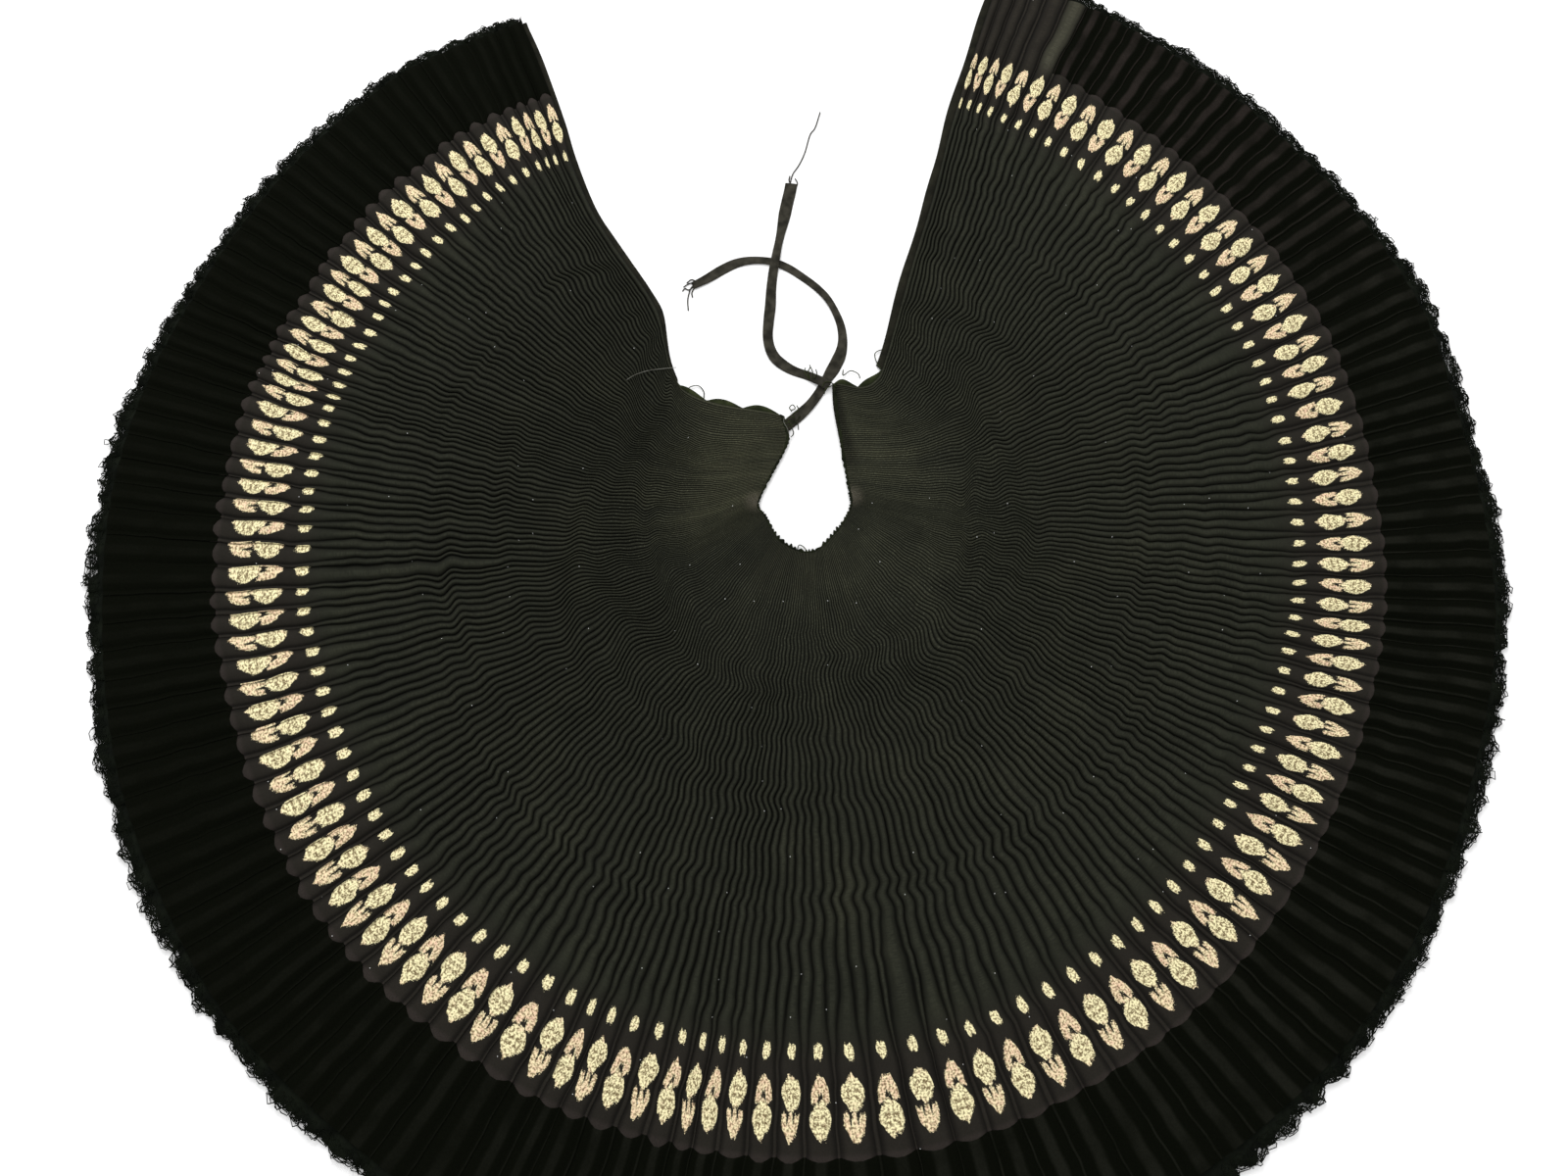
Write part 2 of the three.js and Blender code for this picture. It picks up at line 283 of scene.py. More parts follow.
class PleatPlan:
    """Plan position of each place on the cloth, from its pleat and how far out it is."""

    def __init__(self, guides: Sequence[Guide]) -> None:
        """Keeps the guides as arrays.

        Args:
            guides: chosen pleats in rising order.
        """
        self.knots = np.array([guide.pleat for guide in guides], float)
        self.rings = np.array([[g.waist, g.yoke, g.field, g.marks, g.hem] for g in guides])

    def place(self, pleat: np.ndarray, out: np.ndarray) -> np.ndarray:
        """Plan position of places on the cloth.

        Args:
            pleat: pleat of each place, with its share.
            out: how far out each place lies, counted in rings.

        Returns:
            One x and y for each place.
        """
        pleat, out = np.broadcast_arrays(np.asarray(pleat, float), np.asarray(out, float))
        stray = STRAY_CURVE.at(pleat)
        spread = LEFT_SPREAD * np.clip(1 - pleat / SPREAD_PLEATS, 0, 1)
        spread = spread + RIGHT_SPREAD * np.clip(1 - (PLEATS - pleat) / SPREAD_PLEATS, 0, 1)
        border = BORDER_SPREAD * np.clip(1 - pleat / BORDER_SPREAD_PLEATS, 0, 1)
        border = border * BORDER_SPREAD_SHARE.at(out)
        pleat = pleat + stray[..., 0] * ASIDE_SHARE.at(out) + spread * SPREAD_SHARE.at(out) + border
        hem = HEM_SWING.at(pleat) * HEM_SHARE.at(out)
        out = out + stray[..., 1] * OUTWARDS_SHARE.at(out) / RING_REACH + hem / HEM_REACH
        low = np.clip(np.searchsorted(self.knots, pleat, side="right") - 1, 0, len(self.knots) - 2)
        step = (self.knots[low + 1] - self.knots[low])[..., None, None]
        share = (pleat - self.knots[low])[..., None, None] / step
        slopes = knot_slopes(self.knots, self.rings)
        crossings = hermite(self.rings[low], self.rings[low + 1], slopes[low], slopes[low + 1], share, step)
        crossings = np.moveaxis(crossings, -2, 0)
        slopes = knot_slopes(np.arange(float(len(crossings))), crossings)
        ring = np.clip(np.floor(out), 0, len(crossings) - 2).astype(int)
        ends = [at_ring(values, ring + ahead) for values in (crossings, slopes) for ahead in (0, 1)]
        return hermite(*ends, (out - ring)[..., None], np.ones(1)) + TABLE_SHIFT

    def across(self, pleat: np.ndarray, out: np.ndarray) -> tuple[np.ndarray, np.ndarray]:
        """Direction across the pleats, and their pitch.

        Args:
            pleat: pleat of each place.
            out: how far out each place lies.

        Returns:
            Unit directions towards the right edge, and metres for each pleat.
        """
        step = 0.01
        run = self.place(pleat + step, out) - self.place(pleat - step, out)
        length = np.linalg.norm(run, axis=-1)
        return run / length[..., None], length / (2 * step)

    def beside(self, pleat: np.ndarray, out: np.ndarray, shift: np.ndarray) -> np.ndarray:
        """Plan position moved across the pleats.

        Args:
            pleat: pleat of each place.
            out: how far out each place lies.
            shift: metres towards the right edge.

        Returns:
            One x and y for each place.
        """
        direction, _ = self.across(pleat, out)
        return self.place(pleat, out) + direction * np.asarray(shift)[..., None]


PLAN = PleatPlan(GUIDES)


# The folds of the cloth

@dataclass(frozen=True)
class Kink:
    """A crease that runs over several pleats and pushes them sideways and back."""

    pleat: float
    spread: float                   # in pleats
    out: float
    lean: float                     # rings further out for each pleat
    length: float                   # in rings
    push: float                     # in metres


KINKS = tuple(Kink(*row) for row in (
    (44, 9, 1.10, 0.004, 0.16, 0.0046), (46, 8, 1.34, -0.006, 0.14, -0.0042),
    (40, 7, 1.62, 0.008, 0.12, 0.0030), (52, 7, 1.55, 0.010, 0.11, 0.0024),
    (58, 8, 1.22, -0.004, 0.10, 0.0026), (66, 9, 1.42, 0.003, 0.10, -0.0018),
    (64, 8, 1.78, -0.004, 0.09, 0.0020), (76, 7, 1.16, 0.008, 0.13, -0.0038),
    (80, 8, 1.40, -0.006, 0.13, 0.0036), (84, 7, 1.70, 0.006, 0.10, -0.0022),
    (94, 8, 1.20, -0.010, 0.08, 0.0026), (98, 9, 1.46, 0.004, 0.09, -0.0024),
    (106, 8, 1.12, 0.006, 0.09, 0.0028), (108, 7, 1.36, -0.006, 0.08, -0.0020),
    (117, 6, 1.30, 0.010, 0.12, 0.0036), (122, 6, 1.62, -0.012, 0.12, -0.0030),
    (127, 5, 1.25, 0.008, 0.10, 0.0022), (4, 6, 1.14, 0.010, 0.12, 0.0032),
    (9, 7, 1.40, -0.010, 0.12, -0.0030), (15, 8, 1.22, 0.006, 0.09, 0.0022),
    (24, 8, 1.16, -0.006, 0.08, -0.0020), (30, 7, 1.48, 0.006, 0.08, 0.0018),
    (28, 8, 1.86, -0.004, 0.07, 0.0016), (20, 9, 2.25, 0.004, 0.07, -0.0015),
    (38, 9, 2.15, -0.005, 0.08, 0.0018), (50, 9, 2.35, 0.004, 0.07, 0.0016),
    (72, 10, 2.20, 0.003, 0.07, -0.0016), (88, 9, 2.30, -0.004, 0.07, 0.0014),
    (102, 9, 2.10, 0.004, 0.07, -0.0014), (114, 8, 2.30, -0.005, 0.08, 0.0018),
    (6, 6, 2.20, 0.006, 0.08, 0.0018),
))
KINK_STRENGTH = 2.8             # times each crease's push
FLAT_PLEATS = ((33, 1.7), (70, 2.2), (109, 2.4))    # wide smooth pleats at the seams, and where they start

# Share of each motif that its own fold hides, from its left side
HIDDEN = Curve((0, 8, 18, 26, 34, 44, 56, 66, 131), (0.10, 0.12, 0.22, 0.36, 0.40, 0.24, 0.10, 0.0, 0.04))
HEIGHT_OUTS = (0.03, 0.80, 1.05, 1.25, 1.5, 2.0, 3.0, BAND_FROM, 4.0)


@dataclass(frozen=True)
class Relief:
    """Places and heights over a grid of rows and columns of cloth."""

    spot: np.ndarray                # x, y and z
    pleat: np.ndarray
    out: np.ndarray
    height: np.ndarray              # 0 in a valley, 1 on a ridge


@dataclass(frozen=True)
class Folds:
    """Two soft folds for each woven motif: one that carries it and a narrower one between.

    Widths are in pleats, heights and shifts in metres, and curves run by pleat or outwards by ring.
    """

    motif_columns: int = 7
    gap_columns: int = 5
    jitter: float = 0.055           # unevenness of the folds' widths
    open_gap: float = 0.25          # half the width of the fold between motifs in the field
    border_gap: float = 0.065       # and in the border
    flat_gap: float = 0.04          # and beside a flat pleat
    gap_height: float = 0.30        # its height in the border, as a share of the other's
    uneven: float = 0.16            # unevenness of the heights
    tallest: float = 1.15           # most that a fold may reach, as a share of the ridge
    wobble: float = 0.0024          # sideways drift of a fold
    valley: Curve = Curve(
        HEIGHT_OUTS, (0.0038, 0.0034, 0.0031, 0.0026, 0.0024, 0.0024, 0.0036, 0.0050, 0.0064))
    ridge: Curve = Curve(
        HEIGHT_OUTS, (0.0047, 0.0047, 0.0050, 0.0058, 0.0064, 0.0072, 0.0083, 0.0088, 0.0088))
    # Roundness of the folds' tops, depth of the scallops, and how far the folds lean and may shift
    fullness: Curve = Curve((0, 50, 72, 84, 118, 131), (2.0, 2.0, 2.3, 3.2, 3.0, 2.2))
    border_fullness: float = 2.0
    scallops: Curve = Curve((0, 60, 80, 131), (1.0, 1.0, 0.45, 0.55))
    scallop_fade: float = 0.10      # how far out the scallops are felt, in rings
    lean: Curve = Curve((0, 20, 34, 50, 66, 131), (0.05, 0.12, 0.16, 0.10, 0.0, -0.04))
    looseness: Curve = Curve((0.5, 1.1, 1.6, 2.6, 3.2), (0.15, 1.0, 1.0, 0.7, 0.5))
    waves: tuple[tuple[float, int, Pair], ...] = (
        (1.0, 31, (3.5, 0.085)), (0.4, 37, (1.2, 0.13)), (0.6, 41, (4.0, 0.06)))
    held_pleats: float = 3          # pleats over which the opening's edges hold the folds still

    def edges(self, out: np.ndarray) -> np.ndarray:
        """Pleat position of every valley at each row.

        Args:
            out: how far out each row lies.

        Returns:
            One row for each place in out, one column for each valley, edges included.
        """
        border = smooth_curve((2.70, 3.06), (self.open_gap, self.border_gap), out)[:, None]
        pleat = np.arange(PLEATS)[None, :]
        for flat, start in FLAT_PLEATS:
            near = np.clip(1 - np.abs(pleat - flat), 0, 1)
            grown = smooth_curve((start, start + 0.35), (0, 1), out)[:, None]
            border = border * (1 - near * grown) + self.flat_gap * near * grown
        drift = Drift(11, (1.0, 0.55))
        left = pleat + border + self.jitter * drift.at(2 * pleat, out[:, None])
        right = pleat + 1 - border + self.jitter * drift.at(2 * pleat + 1, out[:, None])
        left[:, 0], right[:, -1] = 0, PLEATS
        return np.stack([left, right], -1).reshape(len(out), -1)

    def columns(self, first: int, last: int) -> tuple[np.ndarray, np.ndarray]:
        """Columns of a stretch of pleats.

        Args:
            first: pleat it starts at.
            last: pleat it ends at.

        Returns:
            The fold each column belongs to, and its share across that fold.
        """
        fold, share = [], []
        end = 2 * last if last < PLEATS else 2 * last - 1
        for number in range(2 * first, end):
            count = self.motif_columns if number % 2 == 0 else self.gap_columns
            steps = (1 - np.cos(np.pi * np.arange(count) / count)) / 2
            fold += [number] * count
            share += steps.tolist()
        return np.array(fold + [end - 1]), np.array(share + [1.0])

    def bulge(self, fold: np.ndarray, share: np.ndarray, pleat: np.ndarray) -> np.ndarray:
        """How far a scalloped edge stands out on each broad fold, and back between them.

        Args:
            fold: fold of each column.
            share: share across that fold.
            pleat: pleat of each point.

        Returns:
            Shares of the scallop's depth.
        """
        round_edge = np.where(fold % 2 == 0, 1 - np.abs(2 * share - 1) ** 1.6, 0.0)[None, :] - 0.35
        uneven = 1 + 0.5 * Drift(26, (1.0, 1.0)).at(fold[None, :] * 1.0, 0 * pleat)
        return round_edge * uneven * self.scallops.at(pleat)

    def profile(self, fold: np.ndarray, share: np.ndarray, pleat: np.ndarray,
                rows: np.ndarray) -> tuple[np.ndarray, np.ndarray]:
        """Round section of the folds.

        Args:
            fold: fold of each column.
            share: share across that fold.
            pleat: pleat of each point.
            rows: how far out each point lies.

        Returns:
            Height from 0 in a valley to 1 on a ridge, and height in metres.
        """
        number = fold[None, :] * 1.0
        full = self.fullness.at(pleat)
        full = full + (self.border_fullness - full) * smooth_curve((2.85, 3.2), (0, 0.9), rows)
        height = 1 - np.abs(2 * share - 1) ** full
        size = 1 + self.uneven * Drift(23, (1.0, 0.7)).at(number, rows)
        size = size * (1 + 0.10 * Drift(24, (14.0, 0.25)).at(pleat, rows))
        border = smooth_curve((2.80, 3.05), (0, 1), rows) * (fold % 2)[None, :]
        lower = self.gap_height * (1 + 0.8 * Drift(27, (1.0, 2.0)).at(number, rows))
        size = np.minimum(size * (1 - (1 - lower) * border), self.tallest)
        valley, ridge = self.valley.at(rows), self.ridge.at(rows)
        depth = 1 + 0.22 * Drift(29, (1.0, 0.5)).at(np.round(fold + share)[None, :], rows)
        return height, ridge - (ridge - valley) * (1 - height * size) * np.clip(depth, 0.6, 1.1)

    def shift(self, pleat: np.ndarray, rows: np.ndarray, height: np.ndarray,
              pitch: np.ndarray) -> np.ndarray:
        """How far the folds waver, kink and lean sideways.

        Args:
            pleat: pleat of each point.
            rows: how far out it lies.
            height: its height, from 0 in a valley to 1 on a ridge.
            pitch: metres for each pleat there.

        Returns:
            Metres towards the right edge.
        """
        loose = self.looseness.at(rows)
        shift = sum(share * self.wobble * loose * Drift(seed, cells).at(pleat, rows)
                    for share, seed, cells in self.waves)
        for kink in KINKS:
            from_middle = (rows - kink.out - kink.lean * (pleat - kink.pleat)) / kink.length
            near = np.exp(-((pleat - kink.pleat) / kink.spread) ** 2 - from_middle ** 2)
            shift = shift + KINK_STRENGTH * kink.push * near * np.sin(2.2 * from_middle)
        free = np.clip(np.minimum(pleat, PLEATS - pleat) / self.held_pleats, 0, 1)
        return shift * free + self.lean.at(pleat) * free * (height - 0.5) * 0.5 * pitch

    def relief(self, out: np.ndarray, first: int, last: int, lift: float = 0.0,
               scallop: float = 0.0) -> Relief:
        """Folded cloth over a stretch of pleats.

        Args:
            out: how far out each row lies.
            first: pleat that the stretch starts at.
            last: pleat that it ends at.
            lift: height added for cloth that lies on top.
            scallop: how far the first rows bulge outwards on each broad fold.

        Returns:
            The relief.
        """
        fold, share = self.columns(first, last)
        lines = self.edges(out)
        start, end = lines[:, fold], lines[:, np.minimum(fold + 1, lines.shape[1] - 1)]
        pleat = start + (end - start) * share
        rows = np.broadcast_to(out[:, None], pleat.shape)
        fade = np.clip(1 - (rows - out[0]) / self.scallop_fade, 0, 1)
        rows = rows + scallop / HEM_REACH * self.bulge(fold, share, pleat) * fade
        height, z = self.profile(fold, share, pleat, rows)
        direction, pitch = PLAN.across(pleat, rows)
        shift = self.shift(pleat, rows, height, pitch)
        plan = PLAN.place(pleat, rows) + direction * shift[..., None]
        return Relief(np.concatenate([plan, (z + lift)[..., None]], -1), pleat, rows, height)


def woven_place(pleat: np.ndarray) -> np.ndarray:
    """Place in the woven pattern, which folds partly hide.

    Args:
        pleat: pleat of each point.

    Returns:
        The pattern's own pleat count there.
    """
    whole = np.floor(np.minimum(pleat, PLEATS - 1e-6))
    hidden = HIDDEN.at(whole)
    return whole + hidden + (pleat - whole) * (1 - hidden)


# Meshes

def select_only(piece: bpy.types.Object) -> None:
    """Deselects everything and selects one piece."""
    bpy.ops.object.select_all(action="DESELECT")
    piece.select_set(True)
    bpy.context.view_layer.objects.active = piece


def add_grid(name: str, rows: int, columns: int) -> tuple[bpy.types.Object, np.ndarray, np.ndarray]:
    """Adds a flat grid, ready to be laid on the cloth.

    Args:
        name: name of the piece.
        rows: points along the pleats.
        columns: points across them.

    Returns:
        The piece, and the row and the column of each of its points.
    """
    bpy.ops.object.select_all(action="DESELECT")
    bpy.ops.mesh.primitive_grid_add(x_subdivisions=rows - 1, y_subdivisions=columns - 1, size=1)
    piece = bpy.context.object
    piece.name = piece.data.name = name
    spots = np.empty(len(piece.data.vertices) * 3, np.float32)
    piece.data.vertices.foreach_get("co", spots)
    spots = spots.reshape(-1, 3)
    row = np.rint((spots[:, 0] + 0.5) * (rows - 1)).astype(int)
    column = np.rint((spots[:, 1] + 0.5) * (columns - 1)).astype(int)
    return piece, row, column


def set_points(piece: bpy.types.Object, spots: np.ndarray) -> None:
    """Moves a piece's points and smooths its faces.

    Args:
        piece: the piece.
        spots: x, y and z of each point.
    """
    piece.data.vertices.foreach_set("co", np.ascontiguousarray(spots, np.float32).ravel())
    piece.data.polygons.foreach_set("use_smooth", np.ones(len(piece.data.polygons), bool))
    piece.data.update()


def set_attribute(piece: bpy.types.Object, name: str, values: np.ndarray) -> None:
    """Stores one number at each point of a piece.

    Args:
        piece: the piece.
        name: name of the attribute.
        values: one number for each point.
    """
    attribute = piece.data.attributes.new(name, "FLOAT", "POINT")
    attribute.data.foreach_set("value", np.ascontiguousarray(values, np.float32).ravel())


def lay_cloth(name: str, relief: Relief) -> bpy.types.Object:
    """Lays a grid on a relief.

    Args:
        name: name of the piece.
        relief: places and heights.

    Returns:
        The piece, with the pattern's places as attributes.
    """
    rows, columns = relief.pleat.shape
    piece, row, column = add_grid(name, rows, columns)
    set_points(piece, relief.spot[row, column])
    set_attribute(piece, "woven", woven_place(relief.pleat)[row, column])
    set_attribute(piece, "along", ((relief.out - 3) * HEM_REACH)[row, column])
    set_attribute(piece, "out", relief.out[row, column])
    set_attribute(piece, "pleat", relief.pleat[row, column])
    set_attribute(piece, "height", relief.height[row, column])
    return piece


def threads(name: str, lines: Sequence[np.ndarray], diameter: float, rounds: int = 0) -> bpy.types.Object:
    """Turns lines into fine threads.

    Args:
        name: name of the piece.
        lines: points of each thread.
        diameter: how thick the threads are.
        rounds: roundness of the section, 0 for four sides.

    Returns:
        The threads, joined in one mesh.
    """
    curve = bpy.data.curves.new(name, "CURVE")
    curve.dimensions, curve.bevel_depth, curve.bevel_resolution = "3D", diameter / 2, rounds
    curve.use_fill_caps = True
    for line in lines:
        spline = curve.splines.new("POLY")
        spline.points.add(len(line) - 1)
        spots = np.concatenate([line, np.ones((len(line), 1))], 1)
        spline.points.foreach_set("co", spots.astype(np.float32).ravel())
    piece = bpy.data.objects.new(name, curve)
    bpy.context.scene.collection.objects.link(piece)
    select_only(piece)
    bpy.ops.object.convert(target="MESH")
    piece = bpy.context.object
    piece.name = piece.data.name = name
    piece.data.polygons.foreach_set("use_smooth", np.ones(len(piece.data.polygons), bool))
    return piece


def rounded_line(points: Sequence[Sequence[float]], steps: int) -> np.ndarray:
    """Smooth line through chosen points.

    Args:
        points: the points.
        steps: steps from each point to the next.

    Returns:
        Points along the line.
    """
    points = np.asarray(points, float)
    at = np.linspace(0, len(points) - 1, (len(points) - 1) * steps + 1)
    return smooth_curve(np.arange(len(points)), points, at)


def dress(piece: bpy.types.Object, material: bpy.types.Material, slot: Slot, *nodes: str) -> None:
    """Gives a piece its finish and its body, and hides the nodes it stands for.

    Args:
        piece: the piece.
        material: its finish.
        slot: material slot of the record; not used.
        nodes: CAD nodes that it replaces.
    """
    piece.data.materials.clear()
    piece.data.materials.append(material)
    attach(piece, BODY)
    if nodes:
        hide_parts(*nodes)
    LOG.info("%s: %d faces", piece.name, len(piece.data.polygons))


def area_of(piece: bpy.types.Object) -> float:
    """Area of all of a piece's faces."""
    areas = np.empty(len(piece.data.polygons), np.float32)
    piece.data.polygons.foreach_get("area", areas)
    return float(areas.sum())


# Finishes

class Signal:
    """One output of a shader node, with arithmetic that adds Math nodes."""

    def __init__(self, shader: "Shader", socket: bpy.types.NodeSocket) -> None:
        """Keeps the socket.

        Args:
            shader: the shader it belongs to.
            socket: the node's output.
        """
        self.shader, self.socket = shader, socket

    def maths(self, operation: str, *values: "float | Signal") -> "Signal":
        """Adds a Math node.

        Args:
            operation: what the node does.
            values: its inputs in order.

        Returns:
            The result.
        """
        return self.shader.node("ShaderNodeMath", {"operation": operation}, dict(enumerate(values)))

    def __add__(self, other: "float | Signal") -> "Signal":
        """Sum."""
        return self.maths("ADD", self, other)

    __radd__ = __add__

    def __sub__(self, other: "float | Signal") -> "Signal":
        """Difference."""
        return self.maths("SUBTRACT", self, other)

    def __rsub__(self, other: float) -> "Signal":
        """Difference from a number."""
        return self.maths("SUBTRACT", other, self)

    def __mul__(self, other: "float | Signal") -> "Signal":
        """Product."""
        return self.maths("MULTIPLY", self, other)

    __rmul__ = __mul__

    def __truediv__(self, other: "float | Signal") -> "Signal":
        """Quotient."""
        return self.maths("DIVIDE", self, other)

    def __pow__(self, other: "float | Signal") -> "Signal":
        """Power."""
        return self.maths("POWER", self, other)

    def __abs__(self) -> "Signal":
        """Size without its sign."""
        return self.maths("ABSOLUTE", self)

    def __mod__(self, other: float) -> "Signal":
        """Rest after whole steps, never negative."""
        return self.maths("FLOORED_MODULO", self, other)

    def sine(self) -> "Signal":
        """Sine of an angle in radians."""
        return self.maths("SINE", self)

    def least(self, other: "float | Signal") -> "Signal":
        """The smaller of two."""
        return self.maths("MINIMUM", self, other)

    def most(self, other: "float | Signal") -> "Signal":
        """The larger of two."""
        return self.maths("MAXIMUM", self, other)

    def rise(self, start: float, end: float) -> "Signal":
        """Smooth step from 0 at start to 1 at end."""
        return self.shader.node(
            "ShaderNodeMapRange", {"interpolation_type": "SMOOTHSTEP"},
            {"Value": self, "From Min": start, "From Max": end})


class Shader:
    """Node tree of one material, written as expressions."""

    def __init__(self, name: str) -> None:
        """Adds the material.

        Args:
            name: the material's name.
        """
        self.material = bpy.data.materials.new(name)
        self.material.use_nodes = True
        self.tree = self.material.node_tree
        self.surface = self.tree.nodes["Principled BSDF"]

    def node(self, kind: str, settings: dict | None = None, inputs: dict | None = None,
             output: int | str = 0) -> Signal:
        """Adds any node.

        Args:
            kind: the node's type.
            settings: its properties, by name.
            inputs: values or signals by the socket's name or number.
            output: the output that is returned.

        Returns:
            That output.
        """
        node = self.tree.nodes.new(kind)
        for key, value in (settings or {}).items():
            setattr(node, key, value)
        for key, value in (inputs or {}).items():
            self.feed(node.inputs[key], value)
        return Signal(self, node.outputs[output])

    def feed(self, socket: bpy.types.NodeSocket, value: "float | tuple | Signal") -> None:
        """Sets a socket's value, or links it.

        Args:
            socket: the input.
            value: a number, a colour, a vector or a signal.
        """
        if isinstance(value, Signal):
            self.tree.links.new(value.socket, socket)
        elif socket.type == "RGBA" and len(value) == 3:
            socket.default_value = (*value, 1)
        else:
            socket.default_value = value

    def surface_inputs(self, **values: "float | tuple | Signal") -> None:
        """Sets the surface's sockets, named with underscores for spaces."""
        for key, value in values.items():
            self.feed(self.surface.inputs[key.replace("_", " ")], value)

    def attribute(self, name: str) -> Signal:
        """A number stored at the mesh's points."""
        return self.node("ShaderNodeAttribute", {"attribute_name": name}, output=2)

    def spot(self) -> Signal:
        """Object coordinates."""
        return self.node("ShaderNodeTexCoord", output="Object")

    def joined(self, x: "float | Signal", y: "float | Signal", z: "float | Signal") -> Signal:
        """Vector made of three numbers."""
        return self.node("ShaderNodeCombineXYZ", None, {0: x, 1: y, 2: z})

    def noise(self, vector: Signal, scale: float, detail: float = 2.0) -> Signal:
        """Soft noise around 0.5.

        Args:
            vector: where it is read.
            scale: cells for each unit.
            detail: octaves added.

        Returns:
            The noise's value.
        """
        return self.node("ShaderNodeTexNoise", {"noise_dimensions": "3D"},
                         {"Vector": vector, "Scale": scale, "Detail": detail})

    def dots(self, vector: Signal, scale: float) -> tuple[Signal, Signal]:
        """Scattered dots in plan.

        Args:
            vector: where they are read.
            scale: dots for each unit.

        Returns:
            The distance to the nearest dot, and that dot's own random number.
        """
        node = self.tree.nodes.new("ShaderNodeTexVoronoi")
        node.voronoi_dimensions = "2D"
        self.feed(node.inputs["Vector"], vector)
        node.inputs["Scale"].default_value = scale
        return Signal(self, node.outputs["Distance"]), Signal(self, node.outputs["Color"])

    def distance(self, vector: Signal, place: Sequence[float]) -> Signal:
        """Distance from a fixed place."""
        return self.node("ShaderNodeVectorMath", {"operation": "DISTANCE"},
                         {0: vector, 1: tuple(place)}, "Value")

    def mixed(self, first: "Colour | Signal", second: "Colour | Signal",
              share: "float | Signal") -> Signal:
        """Colour between two.

        Args:
            first: colour at 0.
            second: colour at 1.
            share: how much of the second.

        Returns:
            The colour.
        """
        return self.node("ShaderNodeMix", {"data_type": "RGBA"}, {0: share, 6: first, 7: second}, 2)

    def toned(self, colour: "Colour | Signal", tone: "float | Signal") -> Signal:
        """Colour made lighter or darker by a number."""
        return self.node("ShaderNodeVectorMath", {"operation": "SCALE"}, {0: colour, "Scale": tone})

    def bump(self, height: Signal, distance: float, strength: float = 1.0) -> Signal:
        """Normal bent by a height in units of distance."""
        return self.node("ShaderNodeBump", None,
                         {"Height": height, "Distance": distance, "Strength": strength})


@dataclass(frozen=True)
class WovenBorder:
    """Sizes of the woven motifs: across in pleats, and along in millimetres beyond the dashes' row."""

    dash_half: Pair = (0.155, 8.2)     # half its width and half its length
    leaf_half: Pair = (0.345, 19.8)
    leaf_middle: float = 44.0
    leaf_step: float = 26.5         # how much farther out the leaf is on every second pleat
    outer_bud: Pair = (65.0, 27.0)     # where the outer bud starts, and its length
    inner_bud: Pair = (52.5, 28.5)
    bud_half: float = 0.305
    notch: Pair = (0.105, 0.040)   # where the slits of an outer bud's tail are, and half their width
    notch_change: Pair = (-0.075, 0.030)   # added for an inner bud
    stroke: float = 0.19            # from a leaf's middle to its dark strokes, in halves of its length

    def motif(self, across: Signal, along: Signal, other: Signal) -> tuple[Signal, Signal, Signal]:
        """Woven motif column of one pleat.

        Args:
            across: place across the pleat, from -0.5 to 0.5.
            along: millimetres beyond the row of dashes.
            other: 1 on every second pleat, 0 on the rest.

        Returns:
            How far inside the motif a point lies, in pleats, how rosy it is and its dark strokes there.
        """
        side = abs(across)
        dash_wide, dash_long = self.dash_half
        dash = (1.0 - (side / dash_wide) ** 3.0 - (abs(along) / dash_long) ** 3.0) * 0.06
        leaf_wide, leaf_long = self.leaf_half
        share = (along - self.leaf_middle - other * self.leaf_step) / leaf_long
        leaf = (1.0 - abs(share + 0.03) ** 2.0) * leaf_wide - side
        inner = (self.inner_bud[0] - along) / self.inner_bud[1]
        outer = (along - self.outer_bud[0]) / self.outer_bud[1]
        tail = outer + other * (inner - outer)
        body = (1.0 - tail.most(0.0) ** 2.8) * self.bud_half - side
        body = body.least(tail * 0.9 + 0.05)
        place = self.notch[0] + other * self.notch_change[0]
        notch = abs(side - place) - (self.notch[1] + other * self.notch_change[1]) * (1.0 - tail * 2.6)
        bud = body.least(notch.most((tail - 0.34) * 0.5))
        stroke = abs(abs(share - side * 0.25 + 0.02) - self.stroke)
        strokes = (1.0 - stroke.rise(0.045, 0.085)) * (1.0 - side.rise(0.19, 0.27)) * side.rise(0.01, 0.04)
        rosy = bud.rise(0.0, 0.03) * (0.42 + other * 0.10)
        rosy = rosy + abs(share).rise(0.55, 1.0) * leaf.rise(0.0, 0.01) * 0.35
        return dash.most(leaf).most(bud), rosy, strokes * leaf.rise(0.0, 0.02)


